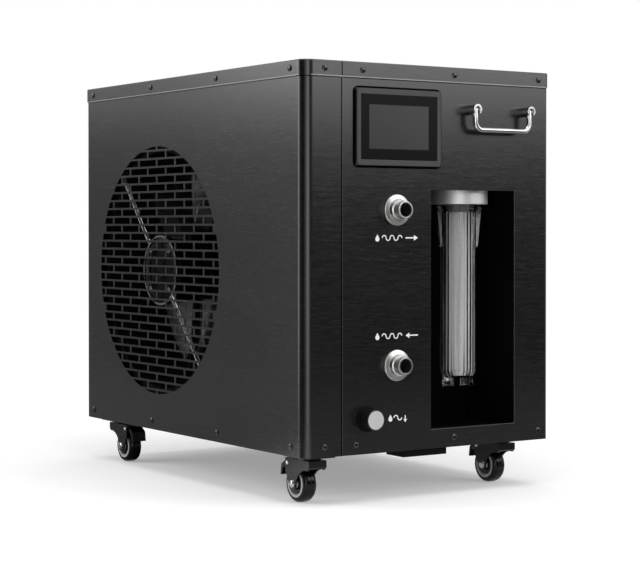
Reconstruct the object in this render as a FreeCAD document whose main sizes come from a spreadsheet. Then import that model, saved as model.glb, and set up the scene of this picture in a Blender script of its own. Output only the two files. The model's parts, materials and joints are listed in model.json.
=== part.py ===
import FreeCAD, Part
import math
import os
import re
import Sketcher

# Ice bath chiller: a sheet steel cabinet on four casters.
# Frame: X to the right seen from the front, Y to the back, Z up, floor at Z = 0.
# The front face looks towards -Y, the round air grille is on the -X side.

doc = FreeCAD.newDocument("IceBathChiller")
sizes = doc.addObject("Spreadsheet::Sheet", "Sizes")
places = doc.addObject("Spreadsheet::Sheet", "Places")
V = FreeCAD.Vector
FULL_TURN = 360.0
SCREW_CROWN = 0.7
SCREW_RIM = 0.35
kept = []
place_names = []

# Sizes: plain numbers in millimetres and degrees, each with a name
SIZES = {
    # Cabinet
    "cab_width": 416,
    "cab_depth": 632,
    "cab_height": 520,
    "caster_height": 65,
    "panel_wall": 1.5,
    "cover_wall": 1.2,
    "cover_skirt": 21,
    "cover_edge": 2,
    "cover_chamfer": 1,
    "corner_round": 15,
    "front_bend": 5,
    "seam_inset": 61,
    "seam_gap": 0.8,
    "side_return": 20,
    "pan_flange": 19,
    # Filter window in the front panel and the black box behind it
    "window_left": 207.4,
    "window_width": 146,
    "window_bottom": 26.5,
    "window_height": 325.5,
    "recess_margin": 5,
    "recess_depth": 118,
    "recess_wall": 1.2,
    # Water filter
    "filter_across": 295,
    "filter_back": 55,
    "head_radius": 42,
    "head_bottom": 333.5,
    "head_height": 38,
    "head_edge": 1.5,
    "socket_radius": 24.4,
    "socket_depth": 18,
    "thread_gap": 0.4,
    "bowl_radius": 26.5,
    "bowl_wall": 4,
    "bowl_floor": 4,
    "bowl_round": 14,
    "bowl_round_in": 8,
    "bowl_round_up": 9,
    "bowl_inner_chamfer": 3,
    "bowl_bottom": 78,
    "collar_radius": 30,
    "collar_height": 7,
    "grip_rib_reach": 35,
    "grip_rib_length": 52,
    "grip_rib_width": 3,
    "grip_rib_count": 6,
    "foot_height": 12,
    "foot_count": 4,
    "foot_inset": 8,
    "cartridge_radius": 17,
    "cartridge_end_gap": 4,
    "filter_gap": 0.4,
    # Touch screen
    "display_across": 151.2,
    "display_up": 434.4,
    "display_width": 144.5,
    "display_height": 108,
    "display_corner": 8,
    "display_stand": 5,
    "display_lip": 2,
    "glass_width": 126,
    "glass_height": 86.5,
    "glass_thick": 2,
    "glass_gap": 0.3,
    "housing_back": 28,
    # Water fittings
    "fitting_across": 149.8,
    "outlet_up": 324.3,
    "inlet_up": 115.9,
    "flange_radius": 21,
    "flange_thick": 2.5,
    "neck_radius": 15,
    "neck_length": 9,
    "stub_radius": 12,
    "stub_edge": 0.6,
    "neck_step": 1.5,
    "stub_bore": 9.5,
    "fitting_length": 21,
    "shank_radius": 13,
    "shank_length": 22,
    "lock_nut_across": 34,
    "lock_nut_thick": 7,
    "hole_gap": 0.3,
    # Drain valve
    "drain_across": 102,
    "drain_up": 46.5,
    "drain_collar_radius": 17,
    "drain_collar_thick": 3,
    "drain_shank_radius": 7,
    "drain_shank_length": 18,
    "knob_radius": 14,
    "knob_length": 20,
    "knob_face_radius": 12.5,
    "knob_face_thick": 1.2,
    "knob_gap": 0.4,
    "valve_stem_radius": 4,
    "valve_stem_length": 12,
    "running_gap": 0.05,
    # Drop handle
    "handle_across": 320.5,
    "handle_up": 463,
    "handle_span": 95.5,
    "handle_drop": 28,
    "handle_round": 12,
    "rod_radius": 3.8,
    "boss_radius": 7,
    "boss_length": 20,
    "boss_axle_out": 14,
    "boss_slot_gap": 0.4,
    "pin_radius": 2,
    # Round grille in the left panel
    "grille_rear": 229.5,
    "grille_up": 237.5,
    "grille_radius": 183.5,
    "slot_length": 51.2,
    "slot_height": 9.2,
    "web_upright": 4.8,
    "web_flat": 3.05,
    # Fan
    "fan_radius": 167,
    "fan_hub_radius": 46,
    "fan_hub_length": 34,
    "fan_set_back": 53,
    "blade_count": 5,
    "blade_pitch": 27,
    "blade_chord": 112,
    "blade_thick": 2.4,
    "blade_sweep": 14,
    "blade_twist": 18,
    "blade_camber": 0.1,
    "blade_root_share": 0.45,
    "motor_radius": 49,
    "motor_length": 40,
    "motor_set_back": 4,
    "motor_edge": 3,
    "motor_shaft_radius": 6,
    "motor_bore": 22,
    "shroud_radius": 176,
    "shroud_set_back": 7.6,
    "shroud_depth": 96,
    "shroud_lip": 198,
    "shroud_wall": 2,
    "bracket_rod": 1.5,
    "bracket_pair_gap": 6.5,
    "bracket_ring_depth": 8,
    "bracket_ring_wall": 3,
    "bracket_ring_lead": 0.6,
    "bracket_foot": 10,
    "bracket_foot_margin": 6,
    "bracket_angle": 139,
    # Inside the cabinet
    "coil_back": 202.5,
    "coil_rear": 29.5,
    "coil_height": 436,
    "coil_thick": 44,
    "coil_rib_pitch": 28,
    "coil_rib_depth": 3,
    "compressor_aside": 94,
    "compressor_rear": 152,
    "compressor_radius": 62,
    "compressor_height": 190,
    "compressor_dome": 30,
    "compressor_foot": 160,
    "compressor_foot_thick": 4,
    "grommet_height": 9,
    "grommet_radius": 10,
    "exchanger_aside": 86,
    "exchanger_back": 250,
    "exchanger_width": 84,
    "exchanger_depth": 120,
    "exchanger_height": 230,
    "exchanger_up": 30,
    "pump_across": 110,
    "pump_back": 160,
    "pump_up": 78,
    "pump_radius": 42,
    "pump_length": 64,
    "pump_volute": 54,
    "pump_volute_thick": 34,
    "pump_foot_width": 80,
    "pump_foot_length": 38.4,
    "hose_radius": 9,
    "hose_bend": 24,
    "hose_roof_gap": 36,
    "port_radius": 7,
    "port_span": 40,
    "port_rise": 14,
    "pipe_radius": 4,
    "pipe_bend": 16,
    "discharge_up": 378,
    "liquid_up": 62,
    "suction_up": 164,
    "box_width": 170,
    "box_depth": 90,
    "box_height": 64,
    "box_back": 42,
    "sump_across": 164,
    "sump_width": 73,
    "sump_depth": 40,
    "sump_back": 5,
    "sump_height": 9.5,
    # Air inlet louvres on the right panel
    "louvre_count": 12,
    "louvre_length": 260,
    "louvre_pitch": 26,
    "louvre_up": 116,
    "louvre_back": 380,
    "louvre_slot": 6,
    # Power inlet at the back
    "socket_across": 330,
    "socket_up": 70,
    "socket_width": 50,
    "socket_height": 28,
    "socket_flange": 3,
    "socket_body": 22,
    "socket_wall": 2,
    "socket_floor": 4,
    "socket_rim": 5,
    "socket_well": 24,
    # Casing screws
    "screw_head": 4,
    "screw_head_height": 2.2,
    "screw_shank": 1.9,
    "screw_shank_length": 6,
    "screw_hole_gap": 0.15,
    "screw_down": 10.5,
    "screw_raise": 13.3,
    "screw_front_left": 33.7,
    "screw_front_right": 19.5,
    "screw_front_second": 94,
    "screw_bottom_second": 83.5,
    "screw_front_third": 247,
    "screw_side_front": 33,
    "screw_side_rear": 21,
    "screw_rear_inset": 26,
    # Casters
    "caster_left_inset": 34,
    "caster_right_inset": 51,
    "caster_front_inset_left": 38,
    "caster_front_inset_right": 50,
    "caster_rear_inset": 57,
    "caster_trail": 20,
    "mount_plate_width": 50,
    "mount_plate_length": 58,
    "mount_plate_thick": 2.5,
    "race_radius": 17,
    "race_height": 3.5,
    "kingpin_radius": 4,
    "kingpin_head_radius": 7,
    "kingpin_head_thick": 2,
    "turn_gap": 0.3,
    "crown_thick": 2.5,
    "leg_thick": 2.2,
    "leg_gap": 1.8,
    "leg_end_radius": 9,
    "crown_front": 20,
    "crown_back": 38,
    "apron_drop": 9,
    "leg_sweep": 26,
    "leg_rear_drop": 17,
    "wheel_radius": 25,
    "wheel_width": 20,
    "tyre_thick": 6.5,
    "tyre_round": 4,
    "rim_width": 3.2,
    "rim_recess": 3,
    "hub_boss_radius": 7,
    "axle_radius": 3,
    "axle_head_radius": 5.5,
    "axle_head_thick": 3,
    "axle_gap": 0.08,
    "pedal_reach": 54,
    "pedal_low": 34,
    "pedal_thick": 3,
    "pedal_pin_back": 33,
    "pedal_pin_radius": 2,
    "pedal_gap": 0.4,
}


def place(name, formula):
    row = len(place_names) + 1
    places.set("A%d" % row, name)
    places.set("B%d" % row, "=" + link(formula))
    places.setAlias("B%d" % row, name)
    place_names.append(name)
    doc.recompute()


def link(formula):
    def full_name(match):
        word = match.group(0)
        if word in SIZES:
            return "Sizes." + word
        if word in place_names:
            return "Places." + word
        return word
    return re.sub(r"[A-Za-z_][A-Za-z_0-9]*", full_name, str(formula))


def num(formula):
    return float(sizes.evalExpression(link(formula)))


for row, (name, value) in enumerate(SIZES.items(), 1):
    sizes.set("A%d" % row, name)
    sizes.set("B%d" % row, str(value))
    sizes.setAlias("B%d" % row, name)
doc.recompute()

# Places worked out from the sizes
place("front_out", "max(max(fitting_length; boss_length); knob_length) - cover_wall")
place("rear_out", "max(socket_flange - cover_wall; screw_head_height)")
place("front_y", "front_out - (cab_depth + front_out + rear_out) / 2")
place("rear_y", "front_y + cab_depth")
place("left_x", "-cab_width / 2")
place("right_x", "cab_width / 2")
place("base_z", "caster_height")
place("top_z", "caster_height + cab_height")
place("panel_left", "left_x + cover_wall")
place("panel_right", "right_x - cover_wall")
place("panel_front", "front_y + cover_wall")
place("panel_rear", "rear_y - cover_wall")
place("panel_top", "top_z - cover_wall")
place("seam_x", "left_x + seam_inset")
place("inner_left", "panel_left + panel_wall")
place("inner_right", "panel_right - panel_wall")
place("inner_front", "panel_front + panel_wall")
place("inner_rear", "panel_rear - panel_wall")
place("pan_top", "base_z + panel_wall")
place("window_x", "left_x + window_left")
place("window_z", "base_z + window_bottom")
place("filter_x", "left_x + filter_across")
place("filter_y", "front_y + filter_back")
place("head_z", "base_z + head_bottom")
place("bowl_z", "base_z + bowl_bottom")
place("display_x", "left_x + display_across")
place("display_z", "base_z + display_up")
place("fitting_x", "left_x + fitting_across")
place("outlet_z", "base_z + outlet_up")
place("inlet_z", "base_z + inlet_up")
place("drain_x", "left_x + drain_across")
place("drain_z", "base_z + drain_up")
place("handle_x", "left_x + handle_across")
place("handle_z", "base_z + handle_up")
place("grille_y", "rear_y - grille_rear")
place("grille_z", "base_z + grille_up")
place("motor_x", "inner_left + motor_set_back")
place("fan_x", "inner_left + fan_set_back")
place("shroud_x", "inner_left + shroud_set_back")
place("coil_x", "shroud_x + shroud_depth")
place("coil_y", "front_y + coil_back")
place("coil_length", "cab_depth - coil_back - coil_rear")
place("compressor_x", "right_x - compressor_aside")
place("compressor_y", "rear_y - compressor_rear")
place("exchanger_x", "right_x - exchanger_aside")
place("exchanger_y", "front_y + exchanger_back")
place("liquid_y", "(exchanger_y + exchanger_depth / 2 + compressor_y - compressor_radius) / 2")
place("leg_in", "wheel_width / 2 + leg_gap")
place("leg_out", "wheel_width / 2 + leg_gap + leg_thick")
place("crown_z", "caster_height - mount_plate_thick - race_height - turn_gap - crown_thick")
place("crown_top", "crown_z + crown_thick")


# Building blocks: each size is tied to the sheet

def tie(item, prop, formula):
    item.setExpression(prop, link(formula))


def tie_place(item, where):
    for letter, formula in zip("xyz", where):
        tie(item, "Placement.Base." + letter, formula)


def keep(item, label):
    item.Label = label
    kept.append(item)
    return item


def new_body(label):
    return keep(doc.addObject("PartDesign::Body", label), label)


def new_sketch(body, role, lift="0"):
    sketch = body.newObject("Sketcher::SketchObject", body.Name + "_sketch")
    plane = [item for item in body.Origin.OriginFeatures if item.Role == role][0]
    sketch.AttachmentSupport = [(plane, "")]
    sketch.MapMode = "FlatFace"
    tie(sketch, "AttachmentOffset.Base.z", lift)
    return sketch


def pin_point(sketch, geometry, corner, across, up):
    for kind, axis, formula in (("DistanceX", -2, across), ("DistanceY", -1, up)):
        value = num(formula)
        if str(formula) == "0":
            sketch.addConstraint(Sketcher.Constraint("PointOnObject", geometry, corner, axis))
            continue
        index = sketch.addConstraint(Sketcher.Constraint(kind, -1, 1, geometry, corner, value))
        tie(sketch, "Constraints[%d]" % index, formula)


def outline(sketch, corners):
    """Closed outline. A corner (x, y, r, side) starts an arc of radius r, side 1 bulges left."""
    first = sketch.GeometryCount
    spots = [V(num(corner[0]), num(corner[1]), 0) for corner in corners]
    count = len(corners)
    for index, corner in enumerate(corners):
        start = spots[index]
        end = spots[(index + 1) % count]
        if len(corner) == 2:
            sketch.addGeometry(Part.LineSegment(start, end))
            continue
        radius = num(corner[2])
        chord = end - start
        rise = radius - math.sqrt(max(radius ** 2 - (chord.Length / 2) ** 2, 0.0))
        side = V(-chord.y, chord.x, 0).normalize() * rise * corner[3]
        middle = (start + end) * 0.5 + side
        sketch.addGeometry(Part.ArcOfCircle(start, middle, end))
    for index, corner in enumerate(corners):
        here = first + index
        following = first + (index + 1) % count
        flips = len(corner) > 2 and corner[3] == 1
        ends = 1 if flips else 2
        next_flips = len(corners[(index + 1) % count]) > 2 and corners[(index + 1) % count][3] == 1
        starts = 2 if next_flips else 1
        sketch.addConstraint(Sketcher.Constraint("Coincident", here, ends, following, starts))
        pin_point(sketch, here, 2 if flips else 1, corner[0], corner[1])
        if len(corner) > 2:
            radius = Sketcher.Constraint("Radius", here, num(corner[2]))
            tie(sketch, "Constraints[%d]" % sketch.addConstraint(radius), corner[2])


def rectangle(sketch, left, bottom, right, top):
    outline(sketch, [(left, bottom), (right, bottom), (right, top), (left, top)])


def circle(sketch, across, up, radius):
    spot = V(num(across), num(up), 0)
    index = sketch.addGeometry(Part.Circle(spot, V(0, 0, 1), num(radius)))
    pin_point(sketch, index, 3, across, up)
    limit = Sketcher.Constraint("Radius", index, num(radius))
    tie(sketch, "Constraints[%d]" % sketch.addConstraint(limit), radius)


def volume_of(body):
    doc.recompute()
    return body.Shape.Volume


def pad(body, sketch, length, backwards=False):
    feature = body.newObject("PartDesign::Pad", body.Name + "_pad")
    feature.Profile = sketch
    feature.Reversed = backwards
    tie(feature, "Length", length)
    doc.recompute()
    return feature


def pocket(body, sketch, length, backwards=False):
    before = volume_of(body)
    feature = body.newObject("PartDesign::Pocket", body.Name + "_pocket")
    feature.Profile = sketch
    feature.Reversed = backwards
    tie(feature, "Length", length)
    if volume_of(body) >= before:
        raise ValueError("the pocket in %s cuts nothing" % body.Label)
    return feature


def spin(body, sketch):
    feature = body.newObject("PartDesign::Revolution", body.Name + "_turn")
    feature.Profile = sketch
    feature.ReferenceAxis = (sketch, ["V_Axis"])
    feature.Angle = FULL_TURN
    doc.recompute()
    return feature


AXES = {
    "Z": FreeCAD.Rotation(),
    "-Z": FreeCAD.Rotation(V(1, 0, 0), 180),
    "X": FreeCAD.Rotation(V(0, 1, 0), 90),
    "-X": FreeCAD.Rotation(V(0, 1, 0), -90),
    "Y": FreeCAD.Rotation(V(1, 0, 0), -90),
    "-Y": FreeCAD.Rotation(V(1, 0, 0), 90),
}


def turned(label, profile, where, axis="Z", whole=True):
    """Turned piece: the profile gives (radius, height) along the axis from its seat."""
    body = new_body(label) if whole else doc.addObject("PartDesign::Body", label)
    sketch = new_sketch(body, "XZ_Plane")
    outline(sketch, profile)
    spin(body, sketch)
    body.Placement = FreeCAD.Placement(V(0, 0, 0), AXES[axis])
    tie_place(body, where)
    return body


def block(label, length, width, height, where):
    item = doc.addObject("Part::Box", label)
    tie(item, "Length", length)
    tie(item, "Width", width)
    tie(item, "Height", height)
    tie_place(item, where)
    return item


def rod(label, radius, height, where, axis="Z"):
    item = doc.addObject("Part::Cylinder", label)
    tie(item, "Radius", radius)
    tie(item, "Height", height)
    item.Placement = FreeCAD.Placement(V(0, 0, 0), AXES[axis])
    tie_place(item, where)
    return item


def fuse(label, pieces):
    item = doc.addObject("Part::MultiFuse", label)
    item.Shapes = pieces
    item.Refine = True
    doc.recompute()
    return item


def cut(label, base, tool):
    item = doc.addObject("Part::Cut", label)
    item.Base = base
    item.Tool = tool
    doc.recompute()
    return item


def group(label, shapes, where=("0", "0", "0")):
    """Several separate solids, or one built in code, in one node."""
    item = doc.addObject("Part::Feature", label)
    item.Shape = shapes[0] if len(shapes) == 1 else Part.makeCompound(shapes)
    tie_place(item, where)
    doc.recompute()
    return item


def edges_along(shape, axis, test):
    names = []
    for index, edge in enumerate(shape.Edges):
        if edge.Curve.TypeId != "Part::GeomLine":
            continue
        first = edge.Vertexes[0].Point
        last = edge.Vertexes[-1].Point
        run = (last - first).normalize()
        if abs(abs(getattr(run, axis)) - 1) < 1e-6 and test((first + last) * 0.5):
            names.append("Edge%d" % (index + 1))
    return names


def round_edges(body, names, radius, kind="PartDesign::Fillet"):
    prop = "Radius" if kind == "PartDesign::Fillet" else "Size"
    base = body.Tip
    feature = body.newObject(kind, body.Name + "_edge")
    feature.Base = (base, names)
    tie(feature, prop, radius)
    doc.recompute()
    return feature


def near(value, formula, reach=0.01):
    return abs(value - num(formula)) < reach


# Screw places, shared by the screws and by every hole they pass through

def side_screw_spots():
    first = num("front_y + screw_side_front")
    last = num("rear_y - screw_side_rear")
    return [first + (last - first) * step / 3 for step in range(4)]


def front_screw_spots(level):
    second = "screw_front_second" if level == "top" else "screw_bottom_second"
    names = ("screw_front_left", second, "screw_front_third", "cab_width - screw_front_right")
    return [num("left_x + " + name) for name in names]


def rear_screw_spots():
    return [num("left_x + screw_rear_inset"), 0.0, num("right_x - screw_rear_inset")]


def screw_seats():
    """Each screw: its level, the middle of its head's seat and the way the head points."""
    seats = []
    for level in ("top", "bottom"):
        raised = level == "top"
        height = num("top_z - screw_down" if raised else "base_z + screw_raise")
        sides = (num("left_x" if raised else "panel_left"), num("right_x" if raised else "panel_right"))
        ends = (num("front_y" if raised else "panel_front"), num("rear_y" if raised else "panel_rear"))
        for back in side_screw_spots():
            seats.append((V(sides[0], back, height), "-X"))
            seats.append((V(sides[1], back, height), "X"))
        for across in front_screw_spots(level):
            seats.append((V(across, ends[0], height), "-Y"))
        for across in rear_screw_spots():
            seats.append((V(across, ends[1], height), "Y"))
    return seats


def screw_hole_pins():
    radius = num("screw_shank + screw_hole_gap")
    reach = num("screw_shank_length + 2")
    pins = []
    for seat, axis in screw_seats():
        pin = Part.makeCylinder(radius, 2 * reach, V(0, 0, -reach))
        pin.Placement = FreeCAD.Placement(seat, AXES[axis])
        pins.append(pin)
    return Part.makeCompound(pins)


screw_holes = doc.addObject("Part::Feature", "screw_holes")
screw_holes.Shape = screw_hole_pins()


def drilled(label, item):
    return keep(cut(label, item, screw_holes), label)


# Base pan: a tray folded up on all sides inside the panels
pan = doc.addObject("PartDesign::Body", "pan_tray")
pan_sketch = new_sketch(pan, "XY_Plane", "base_z")
outline(pan_sketch, [
    ("inner_left", "panel_front + corner_round", "corner_round - panel_wall", -1),
    ("panel_left + corner_round", "inner_front"),
    ("panel_right - front_bend", "inner_front", "front_bend - panel_wall", -1),
    ("inner_right", "panel_front + front_bend"),
    ("inner_right", "inner_rear"),
    ("inner_left", "inner_rear"),
])
pad(pan, pan_sketch, "pan_flange")
well_sketch = new_sketch(pan, "XY_Plane", "base_z + pan_flange")
outline(well_sketch, [
    ("inner_left + panel_wall", "panel_front + corner_round", "corner_round - 2 * panel_wall", -1),
    ("panel_left + corner_round", "inner_front + panel_wall"),
    ("panel_right - front_bend", "inner_front + panel_wall", "front_bend - 2 * panel_wall", -1),
    ("inner_right - panel_wall", "panel_front + front_bend"),
    ("inner_right - panel_wall", "inner_rear - panel_wall"),
    ("inner_left + panel_wall", "inner_rear - panel_wall"),
])
pocket(pan, well_sketch, "pan_flange - panel_wall")
base_pan = drilled("base_pan", pan)

# Left panel: one sheet, bent round the front corner as far as the seam
side = doc.addObject("PartDesign::Body", "side_sheet")
side_sketch = new_sketch(side, "XY_Plane", "base_z")
outline(side_sketch, [
    ("panel_left", "panel_rear"),
    ("panel_left", "panel_front + corner_round", "corner_round", -1),
    ("panel_left + corner_round", "panel_front"),
    ("seam_x - seam_gap / 2", "panel_front"),
    ("seam_x - seam_gap / 2", "inner_front"),
    ("panel_left + corner_round", "inner_front", "corner_round - panel_wall", 1),
    ("inner_left", "panel_front + corner_round"),
    ("inner_left", "panel_rear"),
])
pad(side, side_sketch, "cab_height - cover_wall")


# Round grille: brick rows of slots, trimmed by the circle

def brick_slots():
    length = num("slot_length")
    height = num("slot_height")
    pitch_along = num("slot_length + web_upright")
    pitch_up = num("slot_height + web_flat")
    radius = num("grille_radius")
    wall = num("panel_wall")
    rows = int(math.ceil(radius / pitch_up))
    along = int(math.ceil(radius / pitch_along)) + 1
    slots = []
    for row in range(-rows, rows + 1):
        shift = pitch_along / 2 if row % 2 else 0.0
        low = row * pitch_up - height / 2
        for column in range(-along, along + 1):
            start = column * pitch_along + shift - length / 2
            nearest = max(abs(low + height / 2) - height / 2, 0.0)
            inner = max(abs(start + length / 2) - length / 2, 0.0)
            if math.hypot(nearest, inner) > radius - height / 2:
                continue
            slots.append(Part.makeBox(3 * wall, length, height, V(-wall, start, low)))
    return slots


slot_rows = group("slot_rows", brick_slots(), ("panel_left", "grille_y", "grille_z"))
grille_disc = rod("grille_disc", "grille_radius", "5 * panel_wall",
                  ("panel_left - 2 * panel_wall", "grille_y", "grille_z"), "X")
grille_cut = doc.addObject("Part::Common", "grille_cut")
grille_cut.Base = grille_disc
grille_cut.Tool = slot_rows
left_side_panel = drilled("left_side_panel", cut("side_grille", side, grille_cut))

# Front panel: flat sheet with a return round the right corner
front = doc.addObject("PartDesign::Body", "front_sheet")
front_sketch = new_sketch(front, "XY_Plane", "base_z")
outline(front_sketch, [
    ("seam_x + seam_gap / 2", "panel_front"),
    ("panel_right - front_bend", "panel_front", "front_bend", -1),
    ("panel_right", "panel_front + front_bend"),
    ("panel_right", "panel_front + side_return"),
    ("inner_right", "panel_front + side_return"),
    ("inner_right", "panel_front + front_bend", "front_bend - panel_wall", 1),
    ("panel_right - front_bend", "inner_front"),
    ("seam_x + seam_gap / 2", "inner_front"),
])
pad(front, front_sketch, "cab_height - cover_wall")
opening_sketch = new_sketch(front, "XZ_Plane", "-inner_front")
rectangle(opening_sketch, "window_x", "window_z", "window_x + window_width", "window_z + window_height")
rectangle(opening_sketch, "display_x - display_width / 2 + display_corner",
          "display_z - display_height / 2 + display_corner",
          "display_x + display_width / 2 - display_corner",
          "display_z + display_height / 2 - display_corner")
circle(opening_sketch, "fitting_x", "outlet_z", "shank_radius + hole_gap")
circle(opening_sketch, "fitting_x", "inlet_z", "shank_radius + hole_gap")
circle(opening_sketch, "drain_x", "drain_z", "drain_shank_radius + hole_gap")
pocket(front, opening_sketch, "2 * panel_wall", True)
front_panel = drilled("front_panel", front)

# Right panel: flat sheet with a stack of pressed air louvres
right = doc.addObject("PartDesign::Body", "right_sheet")
right_sketch = new_sketch(right, "XY_Plane", "base_z")
rectangle(right_sketch, "inner_right", "panel_front + side_return + seam_gap", "panel_right", "panel_rear")
pad(right, right_sketch, "cab_height - cover_wall")
louvre_sketch = new_sketch(right, "YZ_Plane", "panel_right")
for step in range(int(num("louvre_count"))):
    low = "base_z + louvre_up + %d * louvre_pitch" % step
    rectangle(louvre_sketch, "front_y + louvre_back - louvre_length / 2", low,
              "front_y + louvre_back + louvre_length / 2", low + " + louvre_slot")
pocket(right, louvre_sketch, "2 * panel_wall")
right_side_panel = drilled("right_side_panel", right)

# Rear panel: flat sheet between the side panels, with the power inlet's cut-out
rear = doc.addObject("PartDesign::Body", "rear_sheet")
rear_sketch = new_sketch(rear, "XY_Plane", "base_z")
rectangle(rear_sketch, "inner_left", "inner_rear", "inner_right", "panel_rear")
pad(rear, rear_sketch, "cab_height - cover_wall")
socket_sketch = new_sketch(rear, "XZ_Plane", "-panel_rear")
rectangle(socket_sketch, "left_x + socket_across - socket_well / 2 - hole_gap",
          "base_z + socket_up - socket_height / 2 + panel_wall - hole_gap",
          "left_x + socket_across + socket_well / 2 + hole_gap",
          "base_z + socket_up + socket_height / 2 - panel_wall + hole_gap")
pocket(rear, socket_sketch, "2 * panel_wall", True)
rear_panel = drilled("rear_panel", rear)

# Top cover: a lid with a skirt over the panels, slit at the seam
cover = doc.addObject("PartDesign::Body", "cover_sheet")
cover_sketch = new_sketch(cover, "XY_Plane", "top_z - cover_skirt")
outline(cover_sketch, [
    ("left_x", "front_y + corner_round + cover_wall", "corner_round + cover_wall", -1),
    ("left_x + corner_round + cover_wall", "front_y"),
    ("right_x - front_bend - cover_wall", "front_y", "front_bend + cover_wall", -1),
    ("right_x", "front_y + front_bend + cover_wall"),
    ("right_x", "rear_y"),
    ("left_x", "rear_y"),
])
pad(cover, cover_sketch, "cover_skirt")
hollow_sketch = new_sketch(cover, "XY_Plane", "panel_top")
outline(hollow_sketch, [
    ("panel_left", "panel_front + corner_round", "corner_round", -1),
    ("panel_left + corner_round", "panel_front"),
    ("panel_right - front_bend", "panel_front", "front_bend", -1),
    ("panel_right", "panel_front + front_bend"),
    ("panel_right", "panel_rear"),
    ("panel_left", "panel_rear"),
])
pocket(cover, hollow_sketch, "cover_skirt")
slit_sketch = new_sketch(cover, "XZ_Plane", "-panel_front")
rectangle(slit_sketch, "seam_x - seam_gap / 2", "top_z - cover_skirt",
          "seam_x + seam_gap / 2", "top_z - cover_edge")
pocket(cover, slit_sketch, "2 * cover_wall", True)
top_rim = [name for name in ("Edge%d" % (index + 1) for index in range(len(cover.Shape.Edges)))
           if near(cover.Shape.getElement(name).BoundBox.ZMin, "top_z")
           and near(cover.Shape.getElement(name).BoundBox.ZMax, "top_z")]
round_edges(cover, top_rim, "cover_chamfer", "PartDesign::Chamfer")
top_cover = drilled("top_cover", cover)

# Filter recess: a folded box behind the window, open to the front
recess_outer = block("recess_outer", "window_width + 2 * recess_margin + 2 * recess_wall", "recess_depth",
                     "head_bottom + head_height - window_bottom + recess_margin + 2 * recess_wall",
                     ("window_x - recess_margin - recess_wall", "inner_front",
                      "window_z - recess_margin - recess_wall"))
recess_inner = block("recess_inner", "window_width + 2 * recess_margin", "recess_depth - recess_wall",
                     "head_bottom + head_height - window_bottom + recess_margin",
                     ("window_x - recess_margin", "inner_front", "window_z - recess_margin"))
port_spots = ("filter_x - port_span / 2", "filter_x + port_span / 2")
port_holes = [rod("port_hole_%d" % index, "port_radius + hole_gap", "port_rise",
                  (spot, "filter_y", "head_z + head_height"))
              for index, spot in enumerate(port_spots)]
recess_void = fuse("recess_void", [recess_inner] + port_holes)
filter_recess = keep(cut("filter_recess", recess_outer, recess_void), "filter_recess")

# Filter head: turned aluminium cap with the socket for the bowl and two hose ports on top
head_cap = turned("head_cap", [
    ("0", "socket_depth"),
    ("socket_radius", "socket_depth"),
    ("socket_radius", "0"),
    ("head_radius", "0"),
    ("head_radius", "head_height - head_edge"),
    ("head_radius - head_edge", "head_height"),
    ("0", "head_height"),
], ("filter_x", "filter_y", "head_z"), "Z", False)
head_ports = [rod("head_port_%d" % index, "port_radius", "port_rise + head_height - socket_depth - 4",
                  (spot, "filter_y", "head_z + socket_depth + 4"))
              for index, spot in enumerate(port_spots)]
filter_head = keep(fuse("filter_head", [head_cap] + head_ports), "filter_head")

# Filter bowl: clear moulded tube with a threaded neck, a collar, grip ribs and a footed base
bowl = doc.addObject("PartDesign::Body", "bowl_tube")
bowl_sketch = new_sketch(bowl, "XZ_Plane")
outline(bowl_sketch, [
    ("0", "bowl_bottom + foot_height"),
    ("bowl_radius - bowl_round_in", "bowl_bottom + foot_height", "bowl_round", -1),
    ("bowl_radius", "bowl_bottom + foot_height + bowl_round_up"),
    ("bowl_radius", "head_bottom - filter_gap - collar_height"),
    ("collar_radius", "head_bottom - filter_gap - collar_height"),
    ("collar_radius", "head_bottom - filter_gap"),
    ("socket_radius - thread_gap", "head_bottom - filter_gap"),
    ("socket_radius - thread_gap", "head_bottom + socket_depth - 2"),
    ("bowl_radius - bowl_wall", "head_bottom + socket_depth - 2"),
    ("bowl_radius - bowl_wall", "bowl_bottom + foot_height + bowl_round_up"),
    ("bowl_radius - bowl_wall - bowl_inner_chamfer", "bowl_bottom + foot_height + bowl_floor"),
    ("0", "bowl_bottom + foot_height + bowl_floor"),
])
spin(bowl, bowl_sketch)
rib_sketch = new_sketch(bowl, "XZ_Plane", "-grip_rib_width / 2")
outline(rib_sketch, [
    ("bowl_radius - 1", "head_bottom - filter_gap - collar_height - grip_rib_length"),
    ("bowl_radius + 3", "head_bottom - filter_gap - collar_height - grip_rib_length"),
    ("grip_rib_reach", "head_bottom - filter_gap - 3"),
    ("bowl_radius - 1", "head_bottom - filter_gap - 3"),
])
rib = pad(bowl, rib_sketch, "grip_rib_width")
rib_ring = bowl.newObject("PartDesign::PolarPattern", "rib_ring")
rib_ring.Originals = [rib]
rib_ring.Axis = ([item for item in bowl.Origin.OriginFeatures if item.Role == "Z_Axis"][0], [""])
rib_ring.Angle = FULL_TURN
tie(rib_ring, "Occurrences", "grip_rib_count")
bowl.Tip = rib_ring
foot_sketch = new_sketch(bowl, "XZ_Plane", "-grip_rib_width / 2")
outline(foot_sketch, [
    ("foot_inset", "bowl_bottom"),
    ("bowl_radius", "bowl_bottom"),
    ("bowl_radius", "bowl_bottom + foot_height + bowl_round_up + 1"),
    ("bowl_radius - bowl_wall / 2", "bowl_bottom + foot_height + bowl_round_up + 1"),
    ("bowl_radius - bowl_round_in", "bowl_bottom + foot_height + bowl_floor / 2"),
    ("foot_inset", "bowl_bottom + foot_height + bowl_floor / 2"),
])
foot = pad(bowl, foot_sketch, "grip_rib_width")
foot_ring = bowl.newObject("PartDesign::PolarPattern", "foot_ring")
foot_ring.Originals = [foot]
foot_ring.Axis = ([item for item in bowl.Origin.OriginFeatures if item.Role == "Z_Axis"][0], [""])
foot_ring.Angle = FULL_TURN
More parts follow.
